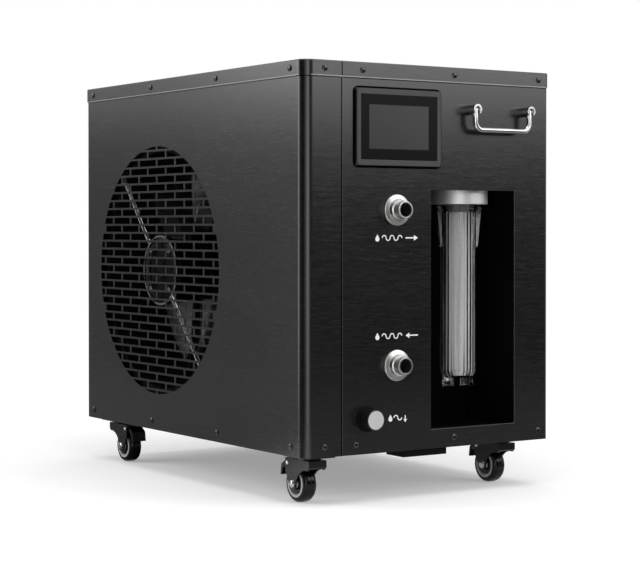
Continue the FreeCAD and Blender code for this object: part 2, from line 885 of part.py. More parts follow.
tie(foot_ring, "Occurrences", "foot_count")
bowl.Tip = foot_ring
doc.recompute()
tie_place(bowl, ("filter_x", "filter_y", "base_z"))
keep(bowl, "filter_bowl")

# Filter cartridge: pleated core with end caps, standing in the bowl
cartridge_low = "bowl_bottom + foot_height + bowl_floor + filter_gap"
cartridge_high = "head_bottom + socket_depth - cartridge_end_gap"
filter_cartridge = turned("filter_cartridge", [
    ("0", cartridge_low),
    ("cartridge_radius + 1", cartridge_low),
    ("cartridge_radius + 1", cartridge_low + " + 5"),
    ("cartridge_radius", cartridge_low + " + 5"),
    ("cartridge_radius", cartridge_high + " - 5"),
    ("cartridge_radius + 1", cartridge_high + " - 5"),
    ("cartridge_radius + 1", cartridge_high),
    ("0", cartridge_high),
], ("filter_x", "filter_y", "base_z"))

# Touch screen: moulded housing through the panel, stepped bezel and a glass front
bezel = new_body("display_bezel")
bezel_sketch = new_sketch(bezel, "XZ_Plane")
rectangle(bezel_sketch, "-display_width / 2", "-display_height / 2",
          "display_width / 2", "display_height / 2")
pad(bezel, bezel_sketch, "display_lip")
corners = edges_along(bezel.Shape, "y", lambda spot: True)
round_edges(bezel, corners, "display_corner")
step_sketch = new_sketch(bezel, "XZ_Plane", "display_lip")
outline(step_sketch, [
    ("-display_width / 2 + 3", "-display_height / 2 + 3"),
    ("display_width / 2 - 3", "-display_height / 2 + 3"),
    ("display_width / 2 - 3", "display_height / 2 - 3"),
    ("-display_width / 2 + 3", "display_height / 2 - 3"),
])
pad(bezel, step_sketch, "display_stand - display_lip")
corners = edges_along(bezel.Shape, "y", lambda spot: spot.y < -num("display_lip"))
round_edges(bezel, corners, "display_corner - 3")
housing_sketch = new_sketch(bezel, "XZ_Plane")
rectangle(housing_sketch, "-display_width / 2 + display_corner + hole_gap",
          "-display_height / 2 + display_corner + hole_gap",
          "display_width / 2 - display_corner - hole_gap",
          "display_height / 2 - display_corner - hole_gap")
pad(bezel, housing_sketch, "housing_back", True)
seat_sketch = new_sketch(bezel, "XZ_Plane", "display_stand")
rectangle(seat_sketch, "-glass_width / 2", "-glass_height / 2", "glass_width / 2", "glass_height / 2")
pocket(bezel, seat_sketch, "glass_thick")
tie_place(bezel, ("display_x", "panel_front", "display_z"))
display_glass = keep(block("display_glass", "glass_width - 2 * glass_gap", "glass_thick",
                           "glass_height - 2 * glass_gap",
                           ("display_x - glass_width / 2 + glass_gap", "panel_front - display_stand",
                            "display_z - glass_height / 2 + glass_gap")), "display_glass")


# Water fittings: stainless bulkhead stubs with a flange and a lock nut behind the panel

def bulkhead_fitting(label, height):
    return turned(label, [
        ("stub_bore", "fitting_length"),
        ("stub_bore", "-shank_length"),
        ("shank_radius", "-shank_length"),
        ("shank_radius", "0"),
        ("flange_radius", "0"),
        ("flange_radius", "flange_thick - 0.8"),
        ("flange_radius - 0.8", "flange_thick"),
        ("neck_radius", "flange_thick + neck_step"),
        ("neck_radius - 1", "neck_length"),
        ("stub_radius", "neck_length + 1"),
        ("stub_radius", "fitting_length - stub_edge"),
        ("stub_radius - stub_edge", "fitting_length"),
    ], ("fitting_x", "panel_front", height), "-Y")


outlet_fitting = bulkhead_fitting("outlet_fitting", "outlet_z")
inlet_fitting = bulkhead_fitting("inlet_fitting", "inlet_z")


def lock_nut(height):
    flat = num("lock_nut_across") / math.sqrt(3)
    rim = [V(flat * math.cos(math.radians(60 * step)), flat * math.sin(math.radians(60 * step)), 0)
           for step in range(7)]
    nut = Part.Face(Part.makePolygon(rim)).extrude(V(0, 0, num("lock_nut_thick")))
    bore = Part.makeCylinder(num("shank_radius + running_gap"), num("lock_nut_thick"))
    nut = nut.cut(bore)
    nut.Placement = FreeCAD.Placement(V(num("fitting_x"), num("inner_front"), num(height)), AXES["Y"])
    return nut


lock_nuts = keep(group("fitting_lock_nuts", [lock_nut("outlet_z"), lock_nut("inlet_z")]), "fitting_lock_nuts")

# Drain valve: a collar on the panel and a knob with a metal face
drain_collar = turned("drain_collar", [
    ("valve_stem_radius + running_gap", "-drain_shank_length"),
    ("drain_shank_radius", "-drain_shank_length"),
    ("drain_shank_radius", "0"),
    ("drain_collar_radius", "0"),
    ("drain_collar_radius", "drain_collar_thick - 1"),
    ("drain_collar_radius - 1", "drain_collar_thick"),
    ("valve_stem_radius + running_gap", "drain_collar_thick"),
], ("drain_x", "panel_front", "drain_z"), "-Y")
drain_knob = turned("drain_knob", [
    ("0", "-valve_stem_length"),
    ("valve_stem_radius", "-valve_stem_length"),
    ("valve_stem_radius", "drain_collar_thick + knob_gap"),
    ("knob_radius", "drain_collar_thick + knob_gap"),
    ("knob_radius", "knob_length - 1"),
    ("knob_radius - 1", "knob_length"),
    ("knob_face_radius", "knob_length"),
    ("knob_face_radius", "knob_length - knob_face_thick"),
    ("0", "knob_length - knob_face_thick"),
], ("drain_x", "panel_front", "drain_z"), "-Y")
drain_knob_face = turned("drain_knob_face", [
    ("0", "knob_length - knob_face_thick"),
    ("knob_face_radius", "knob_length - knob_face_thick"),
    ("knob_face_radius", "knob_length"),
    ("0", "knob_length"),
], ("drain_x", "panel_front", "drain_z"), "-Y")


# Drop handle: two bosses with open slots, their cross pins and the bail

def handle_boss(side_step):
    across = "handle_x + %s * handle_span / 2" % side_step
    reach = num("boss_length")
    axle = num("boss_axle_out")
    half = num("rod_radius + boss_slot_gap")
    boss = Part.makeCylinder(num("boss_radius"), reach)
    boss = boss.cut(Part.makeCylinder(half, reach - axle + half, V(0, 0, axle - half)))
    slot = Part.makeBox(2 * half, num("boss_radius") + 1, reach - axle + half + 1,
                        V(-half, -num("boss_radius") - 1, axle - half))
    boss = boss.cut(slot)
    reach = num("boss_radius")
    bore = Part.makeCylinder(num("pin_radius"), 2 * reach, V(-reach, 0, axle), V(1, 0, 0))
    boss = boss.cut(bore)
    boss.Placement = FreeCAD.Placement(V(num(across), num("panel_front"), num("handle_z")), AXES["-Y"])
    return boss


def handle_pin(side_step):
    across = num("handle_x + %s * handle_span / 2" % side_step)
    half = math.sqrt(num("boss_radius") ** 2 - num("pin_radius") ** 2)
    start = V(across - half, num("panel_front - boss_axle_out"), num("handle_z"))
    return Part.makeCylinder(num("pin_radius"), 2 * half, start, V(1, 0, 0))


handle_bosses = keep(group("handle_bosses", [handle_boss("-1"), handle_boss("1")]), "handle_bosses")
handle_pins = keep(group("handle_pins", [handle_pin("-1"), handle_pin("1")]), "handle_pins")


def bail_shape():
    """U-shaped rod hung on the pins: arms, rounded corners and a cross bar."""
    half = num("handle_span") / 2
    drop = num("handle_drop")
    bend = num("handle_round")
    radius = num("rod_radius")
    inside = bend * (1 - math.cos(math.radians(45)))
    left_arm = Part.LineSegment(V(-half, 0, 0), V(-half, 0, bend - drop))
    left_turn = Part.Arc(V(-half, 0, bend - drop), V(inside - half, 0, inside - drop),
                         V(bend - half, 0, -drop))
    bar = Part.LineSegment(V(bend - half, 0, -drop), V(half - bend, 0, -drop))
    right_turn = Part.Arc(V(half - bend, 0, -drop), V(half - inside, 0, inside - drop),
                          V(half, 0, bend - drop))
    right_arm = Part.LineSegment(V(half, 0, bend - drop), V(half, 0, 0))
    path = Part.Wire([piece.toShape() for piece in (left_arm, left_turn, bar, right_turn, right_arm)])
    ring = Part.Wire([Part.makeCircle(radius, V(-half, 0, 0), V(0, 0, 1))])
    bail = path.makePipeShell([ring], True, False)
    for arm in (-half, half):
        bail = bail.fuse(Part.makeSphere(radius, V(arm, 0, 0)))
    for arm in (-half, half):
        bore = num("pin_radius + running_gap")
        bail = bail.cut(Part.makeCylinder(bore, 4 * radius, V(arm - 2 * radius, 0, 0), V(1, 0, 0)))
    return bail.removeSplitter()


handle_bail = keep(group("handle_bail", [bail_shape()],
                         ("handle_x", "panel_front - boss_axle_out", "handle_z")), "handle_bail")


# Fan: shroud ring, motor, its wire bracket and the bladed rotor with its shaft

shroud = turned("fan_shroud", [
    ("shroud_radius", "0"),
    ("shroud_lip", "0"),
    ("shroud_lip", "shroud_wall"),
    ("shroud_radius + shroud_wall", "shroud_wall"),
    ("shroud_radius + shroud_wall", "shroud_depth"),
    ("shroud_radius", "shroud_depth"),
], ("shroud_x", "grille_y", "grille_z"), "X")
fan_motor = turned("fan_motor", [
    ("0", "0"),
    ("motor_radius - motor_edge", "0"),
    ("motor_radius", "motor_edge"),
    ("motor_radius", "motor_length - 2"),
    ("motor_radius - 2", "motor_length"),
    ("motor_shaft_radius + running_gap", "motor_length"),
    ("motor_shaft_radius + running_gap", "motor_length - motor_bore"),
    ("0", "motor_length - motor_bore"),
], ("motor_x", "grille_y", "grille_z"), "X")


def motor_bracket():
    """Two pairs of steel rods on one slanting line, welded to a mounting ring."""
    radius = num("bracket_rod")
    ring_in = num("motor_radius")
    foot_length = num("bracket_foot")
    margin = num("bracket_foot_margin")
    reach = num("shroud_lip") - margin
    spread = num("bracket_pair_gap") / 2
    depth = num("bracket_ring_depth")
    front = V(0, 0, -radius - num("bracket_ring_lead"))
    collar = Part.makeCylinder(ring_in + num("bracket_ring_wall"), depth, front)
    collar = collar.cut(Part.makeCylinder(ring_in, depth, front))
    pieces = [collar]
    for turn in (0, 180):
        for offset in (-spread, spread):
            arm = Part.makeCylinder(radius, reach - ring_in, V(ring_in + 1, offset, 0), V(1, 0, 0))
            arm.rotate(V(0, 0, 0), V(0, 0, 1), turn)
            pieces.append(arm)
        foot = Part.makeBox(foot_length, 2 * spread + 2 * margin, 2 * radius,
                            V(reach + margin / 2 - foot_length, -spread - margin, -radius))
        foot.rotate(V(0, 0, 0), V(0, 0, 1), turn)
        pieces.append(foot)
    bracket = pieces[0].multiFuse(pieces[1:])
    bracket.rotate(V(0, 0, 0), V(0, 0, 1), num("bracket_angle"))
    bracket.rotate(V(0, 0, 0), V(0, 1, 0), 90)
    return bracket


bracket_x = "shroud_x - bracket_rod"
fan_bracket = keep(group("fan_bracket", [motor_bracket()],
                         (bracket_x, "grille_y", "grille_z")), "fan_bracket")


def blade_section(radius, chord, pitch, lead):
    """Thin cambered strip across a blade, as a flat closed wire square to the radius."""
    thick = num("blade_thick")
    tilt = math.radians(pitch)
    shares = (-0.5, -0.17, 0.17, 0.5)
    points = []
    for side_step in (1, -1):
        for share in shares[::side_step]:
            along = share * chord
            camber = num("blade_camber") * chord * (1 - (2 * share) ** 2)
            rise = camber + side_step * thick / 2
            around = along * math.cos(tilt) - rise * math.sin(tilt)
            axial = along * math.sin(tilt) + rise * math.cos(tilt)
            points.append(V(radius, around, axial))
    section = Part.makePolygon(points + points[:1])
    section.rotate(V(0, 0, 0), V(0, 0, 1), lead)
    return section


def rotor_shape():
    """Hub and swept blades, their tips trimmed to the fan's circle."""
    hub_radius = num("fan_hub_radius")
    hub_length = num("fan_hub_length")
    tip_radius = num("fan_radius")
    root_radius = hub_radius * 0.8
    count = int(num("blade_count"))
    disc = Part.makeCylinder(tip_radius, 4 * hub_length, V(0, 0, -2 * hub_length))
    hub = Part.makeCylinder(hub_radius, hub_length, V(0, 0, -hub_length / 2))
    shaft_reach = num("fan_x + fan_hub_length / 2 - motor_x - motor_length + motor_bore - hole_gap")
    shaft = Part.makeCylinder(num("motor_shaft_radius"), shaft_reach, V(0, 0, -shaft_reach))
    sections = []
    for share in (0.0, 0.5, 1.0):
        radius = root_radius + share * (tip_radius - root_radius)
        width = num("blade_chord") * (num("blade_root_share") + (1 - num("blade_root_share")) * share)
        pitch = num("blade_pitch") + num("blade_twist") * (1 - share)
        sections.append(blade_section(radius, width, pitch, share * num("blade_sweep")))
    blade = Part.makeLoft(sections, True, True)
    if blade.Volume < 0:
        blade.reverse()
    blade = blade.common(disc)
    rotor = hub.fuse(shaft)
    for index in range(count):
        copy = blade.copy()
        copy.rotate(V(0, 0, 0), V(0, 0, 1), index * FULL_TURN / count)
        rotor = rotor.fuse(copy)
    rotor.rotate(V(0, 0, 0), V(0, 1, 0), 90)
    return rotor


fan_rotor = keep(group("fan_rotor", [rotor_shape()],
                       ("fan_x + fan_hub_length / 2", "grille_y", "grille_z")), "fan_rotor")


# Condenser coil: finned block behind the fan, grooved in rows

def coil_shape():
    length = num("coil_length")
    height = num("coil_height")
    thick = num("coil_thick")
    pitch = num("coil_rib_pitch")
    depth = num("coil_rib_depth")
    coil = Part.makeBox(thick, length, height)
    grooves = []
    for row in range(1, int(height // pitch)):
        grooves.append(Part.makeBox(depth, length, pitch / 2, V(thick - depth, 0, row * pitch)))
    return coil.cut(Part.makeCompound(grooves))


condenser_coil = keep(group("condenser_coil", [coil_shape()],
                            ("coil_x", "coil_y", "pan_top")), "condenser_coil")

# Compressor: domed steel can on a foot plate, standing on rubber grommets
compressor_z = "pan_top + grommet_height"
compressor_can = doc.addObject("PartDesign::Body", "compressor_can")
can_sketch = new_sketch(compressor_can, "XZ_Plane")
outline(can_sketch, [
    ("0", "0"),
    ("compressor_radius", "0"),
    ("compressor_radius", "compressor_height - compressor_dome"),
    ("compressor_radius / 2", "compressor_height - compressor_dome / 4"),
    ("0", "compressor_height"),
])
spin(compressor_can, can_sketch)
foot_plate = new_sketch(compressor_can, "XY_Plane")
rectangle(foot_plate, "-compressor_foot / 2", "-compressor_foot / 2",
          "compressor_foot / 2", "compressor_foot / 2")
pad(compressor_can, foot_plate, "compressor_foot_thick")
tie_place(compressor_can, ("compressor_x", "compressor_y", compressor_z))
keep(compressor_can, "compressor")


def grommets():
    inset = num("compressor_foot / 2 - grommet_radius")
    spots = [(-inset, -inset), (inset, -inset), (-inset, inset), (inset, inset)]
    return [Part.makeCylinder(num("grommet_radius"), num("grommet_height"), V(across, back, 0))
            for across, back in spots]


compressor_grommets = keep(group("compressor_grommets", grommets(),
                                 ("compressor_x", "compressor_y", "pan_top")),
                           "compressor_grommets")

# Heat exchanger: brazed plate block in foam, on the base pan
heat_exchanger = keep(block("heat_exchanger", "exchanger_width", "exchanger_depth", "exchanger_height",
                            ("exchanger_x - exchanger_width / 2", "exchanger_y - exchanger_depth / 2",
                             "pan_top")), "heat_exchanger")

# Circulation pump: motor barrel and volute on a foot
pump_barrel = rod("pump_barrel", "pump_radius", "pump_length",
                  ("left_x + pump_across", "front_y + pump_back - pump_length / 2", "base_z + pump_up"), "Y")
pump_volute = rod("pump_volute_disc", "pump_volute", "pump_volute_thick",
                  ("left_x + pump_across", "front_y + pump_back - pump_length / 2 - pump_volute_thick",
                   "base_z + pump_up"), "Y")
pump_foot = block("pump_foot", "pump_foot_width", "pump_foot_length", "pump_up - panel_wall",
                  ("left_x + pump_across - pump_foot_width / 2", "front_y + pump_back - pump_foot_length / 2",
                   "pan_top"))
circulation_pump = keep(fuse("circulation_pump", [pump_barrel, pump_volute, pump_foot]), "circulation_pump")

# Control box under the cover behind the touch screen
control_box = keep(block("control_box", "box_width", "box_depth", "box_height",
                         ("display_x - box_width / 2", "inner_front + housing_back + box_back",
                          "panel_top - box_height")), "control_box")


# Water hoses and refrigerant pipes: straight runs joined by tangent arcs

def tube(radius, bend, corners):
    spots = [V(*[num(value) for value in corner]) for corner in corners]
    edges = []
    start = spots[0]
    for before, corner, after in zip(spots, spots[1:], spots[2:]):
        inward = (corner - before).normalize()
        outward = (after - corner).normalize()
        turn = inward.getAngle(outward)
        room = 0.45 * min((corner - before).Length, (after - corner).Length)
        arc_radius = min(num(bend), room / math.tan(turn / 2))
        setback = arc_radius * math.tan(turn / 2)
        first = corner - inward * setback
        last = corner + outward * setback
        bisector = (outward - inward).normalize()
        middle = corner + bisector * arc_radius * (1 / math.cos(turn / 2) - 1)
        edges.append(Part.LineSegment(start, first).toShape())
        edges.append(Part.Arc(first, middle, last).toShape())
        start = last
    edges.append(Part.LineSegment(start, spots[-1]).toShape())
    path = Part.Wire(edges)
    ring = Part.Wire([Part.makeCircle(num(radius), spots[0], spots[1] - spots[0])])
    pipe = path.makePipeShell([ring], True, False)
    if pipe.Volume < 0:
        pipe.reverse()
    return pipe


roof_z = "head_z + head_height + hose_roof_gap"
port_z = "head_z + head_height + port_rise"
pump_front = "front_y + pump_back - pump_length / 2 - pump_volute_thick"
pump_x = "left_x + pump_across"
pump_z = "base_z + pump_up"
exchanger_top = "pan_top + exchanger_height"
shank_y = "panel_front + shank_length"
inlet_turn_y = shank_y + " + hose_bend + hose_radius"
volute_y = pump_front + " + pump_volute_thick / 2"
return_x = "exchanger_x + exchanger_width / 4"
return_y = "coil_y - hose_bend - hose_radius"
water_hoses = keep(group("water_hoses", [
    tube("hose_radius", "hose_bend", [
        ("fitting_x", shank_y, "inlet_z"),
        ("fitting_x", inlet_turn_y, "inlet_z"),
        (pump_x, inlet_turn_y, pump_z),
        (pump_x, pump_front, pump_z),
    ]),
    tube("hose_radius", "hose_bend", [
        (pump_x, volute_y, pump_z + " + pump_volute"),
        (pump_x, volute_y, roof_z),
        (port_spots[0], volute_y, roof_z),
        (port_spots[0], "filter_y", roof_z),
        (port_spots[0], "filter_y", port_z),
    ]),
    tube("hose_radius", "hose_bend", [
        (port_spots[1], "filter_y", port_z),
        (port_spots[1], "filter_y", roof_z),
        (port_spots[1], "exchanger_y - exchanger_depth / 4", roof_z),
        (port_spots[1], "exchanger_y - exchanger_depth / 4", exchanger_top),
    ]),
    tube("hose_radius", "hose_bend", [
        (return_x, "exchanger_y + exchanger_depth / 4", exchanger_top),
        (return_x, "exchanger_y + exchanger_depth / 4", "outlet_z"),
        (return_x, return_y, "outlet_z"),
        ("fitting_x", return_y, "outlet_z"),
        ("fitting_x", shank_y, "outlet_z"),
    ]),
]), "water_hoses")
coil_face = "coil_x + coil_thick"
refrigerant_pipes = keep(group("refrigerant_pipes", [
    tube("pipe_radius", "pipe_bend", [
        ("compressor_x", "compressor_y", compressor_z + " + compressor_height"),
        ("compressor_x", "compressor_y", "pan_top + discharge_up"),
        (coil_face, "compressor_y", "pan_top + discharge_up"),
    ]),
    tube("pipe_radius", "pipe_bend", [
        (coil_face, "liquid_y", "pan_top + liquid_up"),
        ("exchanger_x - exchanger_width / 4", "liquid_y", "pan_top + liquid_up"),
        ("exchanger_x - exchanger_width / 4", "exchanger_y + exchanger_depth / 2", "pan_top + liquid_up"),
    ]),
    tube("pipe_radius", "pipe_bend", [
        ("compressor_x", "exchanger_y + exchanger_depth / 2", "pan_top + suction_up"),
        ("compressor_x", "compressor_y - compressor_radius - hole_gap", "pan_top + suction_up"),
    ]),
]), "refrigerant_pipes")

# Drip sump under the front edge of the base pan
sump_outer = block("sump_outer", "sump_width", "sump_depth", "sump_height",
                   ("left_x + sump_across", "front_y + sump_back", "base_z - sump_height"))
drain_sump = keep(sump_outer, "drain_sump")

# Power inlet: flanged socket in the rear panel with a plain well
inlet_flange = block("inlet_flange", "socket_width", "socket_flange", "socket_height",
                     ("left_x + socket_across - socket_width / 2", "panel_rear",
                      "base_z + socket_up - socket_height / 2"))
inlet_body = block("inlet_body", "socket_well", "socket_body", "socket_height - 2 * panel_wall",
                   ("left_x + socket_across - socket_well / 2", "panel_rear - socket_body",
                    "base_z + socket_up - socket_height / 2 + panel_wall"))
inlet_well = block("inlet_well", "socket_well - 2 * socket_wall", "socket_body",
                   "socket_height - 2 * socket_rim",
                   ("left_x + socket_across - socket_well / 2 + socket_wall",
                    "rear_y + socket_flange - socket_body + socket_floor",
                    "base_z + socket_up - socket_height / 2 + socket_rim"))
inlet_shell = fuse("inlet_shell", [inlet_flange, inlet_body])
power_inlet = keep(cut("power_inlet", inlet_shell, inlet_well), "power_inlet")


# Casing screws: one low head and shank at every seat

def screw_shape():
    head = num("screw_head")
    tall = num("screw_head_height")
    shank = num("screw_shank")
    profile = [V(0, 0, tall), V(head * SCREW_CROWN, 0, tall), V(head, 0, tall * SCREW_RIM), V(head, 0, 0),
               V(shank, 0, 0), V(shank, 0, -num("screw_shank_length")), V(0, 0, -num("screw_shank_length"))]
    face = Part.Face(Part.makePolygon(profile + profile[:1]))
    return face.revolve(V(0, 0, 0), V(0, 0, 1), FULL_TURN)


def casing_screw_solids():
    solids = []
    for seat, axis in screw_seats():
        screw = screw_shape()
        screw.Placement = FreeCAD.Placement(seat, AXES[axis])
        solids.append(screw)
    return solids


casing_screws = keep(group("casing_screws", casing_screw_solids()), "casing_screws")


# Casters: mounting plate, turning fork, axle bolt, wheel hub, tyre and brake pedal

def half_turn(item, heading):
    item.Placement = FreeCAD.Placement(V(0, 0, 0), FreeCAD.Rotation(V(0, 0, 1), heading))


def caster_plate(name, where, heading):
    plate = doc.addObject("PartDesign::Body", name + "_plate")
    outer = new_sketch(plate, "XY_Plane", "caster_height - mount_plate_thick")
    rectangle(outer, "-mount_plate_width / 2", "-mount_plate_length / 2",
              "mount_plate_width / 2", "mount_plate_length / 2")
    pad(plate, outer, "mount_plate_thick")
    corners = edges_along(plate.Shape, "z", lambda spot: True)
    round_edges(plate, corners, "4", "PartDesign::Chamfer")
    post = new_sketch(plate, "XZ_Plane")
    outline(post, [
        ("0", "crown_z - turn_gap - kingpin_head_thick"),
        ("kingpin_head_radius", "crown_z - turn_gap - kingpin_head_thick"),
        ("kingpin_head_radius", "crown_z - turn_gap"),
        ("kingpin_radius", "crown_z - turn_gap"),
        ("kingpin_radius", "crown_top + turn_gap"),
        ("race_radius - 2", "crown_top + turn_gap"),
        ("race_radius", "caster_height - mount_plate_thick"),
        ("0", "caster_height - mount_plate_thick"),
    ])
    spin(plate, post)
    half_turn(plate, heading)
    tie_place(plate, where)
    return keep(plate, name + "_plate")


def caster_fork(name, where, heading):
    """Pressed fork: crown, two legs down to the axle and a short apron at the front."""
    fork = doc.addObject("PartDesign::Body", name + "_fork")
    shell = new_sketch(fork, "YZ_Plane", "-leg_out")
    outline(shell, [
        ("-crown_front", "crown_top"),
        ("-crown_front", "crown_top - apron_drop"),
        ("-crown_front + 4", "crown_top - apron_drop - 4", "leg_sweep", 1),
        ("caster_trail - 7", "wheel_radius - leg_end_radius + 2"),
        ("caster_trail + 1", "wheel_radius - leg_end_radius", "leg_end_radius", -1),
        ("caster_trail + leg_end_radius", "wheel_radius"),
        ("crown_back", "crown_top - leg_rear_drop"),
        ("crown_back", "crown_top"),
    ])
    pad(fork, shell, "2 * leg_out")
    between = new_sketch(fork, "YZ_Plane", "leg_in")
    rectangle(between, "-crown_front + leg_thick", "0", "crown_back + leg_end_radius", "crown_z")
    pocket(fork, between, "2 * leg_in")
    bores = new_sketch(fork, "XY_Plane", "crown_top")
    circle(bores, "0", "0", "kingpin_radius + axle_gap")
    pocket(fork, bores, "2 * crown_thick")
    axle_bore = new_sketch(fork, "YZ_Plane", "leg_out")
    circle(axle_bore, "caster_trail", "wheel_radius", "axle_radius + running_gap")
    circle(axle_bore, "pedal_pin_back", "crown_z - pedal_pin_radius - 2", "pedal_pin_radius + running_gap")
    pocket(fork, axle_bore, "2 * leg_out")
    half_turn(fork, heading)
    tie_place(fork, where)
    return keep(fork, name + "_fork")


def offset_place(where, heading, back):
    sign = "+" if heading == 0 else "-"
    return (where[0], "%s %s %s" % (where[1], sign, back), where[2])


def caster_axle(name, where, heading):
    centre = offset_place(where, heading, "caster_trail")
    across, back, height = centre
    return turned(name + "_axle", [
        ("0", "-leg_out - axle_head_thick"),
        ("axle_head_radius", "-leg_out - axle_head_thick"),
        ("axle_head_radius", "-leg_out"),
        ("axle_radius", "-leg_out"),
        ("axle_radius", "leg_out"),
        ("axle_head_radius", "leg_out"),
        ("axle_head_radius", "leg_out + axle_head_thick"),
        ("0", "leg_out + axle_head_thick"),
    ], (across, back, "wheel_radius"), "X")


def caster_wheel(name, where, heading):
    across, back, height = offset_place(where, heading, "caster_trail")
    hub_edge = "wheel_radius - tyre_thick"
    turned(name + "_hub", [
        ("axle_radius + axle_gap", "-wheel_width / 2 - leg_gap + turn_gap"),
        ("hub_boss_radius", "-wheel_width / 2 - leg_gap + turn_gap"),
        ("hub_boss_radius", "-wheel_width / 2 + rim_recess"),
        (hub_edge + " - rim_width", "-wheel_width / 2 + rim_recess"),
        (hub_edge + " - rim_width", "-wheel_width / 2"),
        (hub_edge, "-wheel_width / 2"),
        (hub_edge, "wheel_width / 2"),
        (hub_edge + " - rim_width", "wheel_width / 2"),
        (hub_edge + " - rim_width", "wheel_width / 2 - rim_recess"),
        ("hub_boss_radius", "wheel_width / 2 - rim_recess"),
        ("hub_boss_radius", "wheel_width / 2 + leg_gap - turn_gap"),
        ("axle_radius + axle_gap", "wheel_width / 2 + leg_gap - turn_gap"),
    ], (across, back, "wheel_radius"), "X")
    turned(name + "_tyre", [
        (hub_edge, "-wheel_width / 2"),
        ("wheel_radius - tyre_round", "-wheel_width / 2"),
        ("wheel_radius - tyre_round / 3", "-wheel_width / 2 + tyre_round / 3"),
        ("wheel_radius", "-wheel_width / 2 + tyre_round"),
        ("wheel_radius", "wheel_width / 2 - tyre_round"),
        ("wheel_radius - tyre_round / 3", "wheel_width / 2 - tyre_round / 3"),
        ("wheel_radius - tyre_round", "wheel_width / 2"),
        (hub_edge, "wheel_width / 2"),
    ], (across, back, "wheel_radius"), "X")


def caster_pedal(name, where, heading):
    """Brake pedal: a pin between the fork legs and a curved tread over the wheel."""
    pedal = doc.addObject("PartDesign::Body", name + "_pedal")
    pin_z = "crown_z - pedal_pin_radius - 2"
    arm = new_sketch(pedal, "YZ_Plane", "-leg_in + pedal_gap")
    outline(arm, [
        ("pedal_pin_back - 3", pin_z + " - 3"),
        ("pedal_pin_back + 8", pin_z + " - 3"),
        ("pedal_reach - 6", pin_z + " - 8"),
        ("pedal_reach - 3", "pedal_low"),
        ("pedal_reach", "pedal_low"),
        ("pedal_reach - 2", pin_z + " - 4"),
        ("pedal_reach - 10", pin_z + " + 1"),
        ("pedal_pin_back + 8", pin_z + " + 3"),
        ("pedal_pin_back - 3", pin_z + " + 3"),
    ])
    pad(pedal, arm, "2 * leg_in - 2 * pedal_gap")
    pin = new_sketch(pedal, "YZ_Plane", "-leg_out")
    circle(pin, "pedal_pin_back", pin_z, "pedal_pin_radius")
    pad(pedal, pin, "2 * leg_out")
    half_turn(pedal, heading)
    tie_place(pedal, where)
    return keep(pedal, name + "_pedal")


CASTERS = (
    ("front_left_caster", ("left_x + caster_left_inset", "front_y + caster_front_inset_left", "0"), 0),
    ("front_right_caster", ("right_x - caster_right_inset", "front_y + caster_front_inset_right", "0"), 0),
    ("rear_left_caster", ("left_x + caster_left_inset", "rear_y - caster_rear_inset", "0"), 180),
    ("rear_right_caster", ("right_x - caster_right_inset", "rear_y - caster_rear_inset", "0"), 180),
)
for caster_name, caster_spot, caster_heading in CASTERS:
    caster_plate(caster_name, caster_spot, caster_heading)
    caster_fork(caster_name, caster_spot, caster_heading)
    caster_axle(caster_name, caster_spot, caster_heading)
    caster_wheel(caster_name, caster_spot, caster_heading)
    caster_pedal(caster_name, caster_spot, caster_heading)

# Check every object, then write one STEP file for each sub-part
doc.recompute()
faults = [item.Name for item in doc.Objects if "Invalid" in item.State or "Error" in item.State]
if faults:
    raise ValueError("objects that did not build: %s" % ", ".join(faults))
for item in kept:
    if item.Shape.isNull() or not item.Shape.isValid() or not item.Shape.Solids:
        raise ValueError("the shape of %s is null or not valid" % item.Label)
os.makedirs("parts", exist_ok=True)
for item in kept:
    item.Shape.exportStep("parts/%s.step" % item.Label)
print("%d sub-parts written" % len(kept))
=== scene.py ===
import json
import math
import bpy
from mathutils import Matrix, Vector


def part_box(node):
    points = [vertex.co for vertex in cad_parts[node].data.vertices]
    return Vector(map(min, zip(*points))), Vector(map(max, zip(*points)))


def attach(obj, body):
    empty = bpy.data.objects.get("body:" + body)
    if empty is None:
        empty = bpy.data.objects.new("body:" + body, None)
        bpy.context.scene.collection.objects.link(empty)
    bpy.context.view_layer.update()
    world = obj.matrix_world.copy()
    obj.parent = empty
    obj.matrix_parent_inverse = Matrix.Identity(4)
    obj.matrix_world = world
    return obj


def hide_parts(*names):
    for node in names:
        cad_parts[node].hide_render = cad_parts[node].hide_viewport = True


# Ice bath chiller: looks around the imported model. Metres, X right, Y back, Z up, floor at Z = 0.

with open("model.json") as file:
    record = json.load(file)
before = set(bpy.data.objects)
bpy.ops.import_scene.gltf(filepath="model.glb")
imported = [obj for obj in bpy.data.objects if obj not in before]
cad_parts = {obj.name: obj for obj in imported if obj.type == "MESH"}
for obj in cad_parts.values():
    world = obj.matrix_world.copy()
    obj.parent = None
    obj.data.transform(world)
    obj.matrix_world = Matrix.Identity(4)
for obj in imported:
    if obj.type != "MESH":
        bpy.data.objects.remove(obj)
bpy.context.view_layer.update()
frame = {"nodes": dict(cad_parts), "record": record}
nodes = frame["nodes"]
MM = 0.001


def middle_of(node):
    low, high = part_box(node)
    return (low + high) / 2


# Camera, as the photograph was taken: low, from the front left

CAMERA_PLACE = (-1.4602, -2.2415, 0.3664)
CAMERA_TILT = 89.298
CAMERA_TURN = -33.45

camera_data = bpy.data.cameras.new("camera")
camera_data.lens = 100.13
camera_data.shift_y = -0.0657
camera_data.clip_start = 0.05
camera_data.clip_end = 60.0
camera = bpy.data.objects.new("camera", camera_data)
camera.location = CAMERA_PLACE
camera.rotation_euler = (math.radians(CAMERA_TILT), 0.0, math.radians(CAMERA_TURN))
bpy.context.scene.collection.objects.link(camera)
bpy.context.scene.camera = camera
bpy.context.scene.view_settings.view_transform = "Standard"


# Shader maths: a wire is one output of a node, a finish is one material or the world

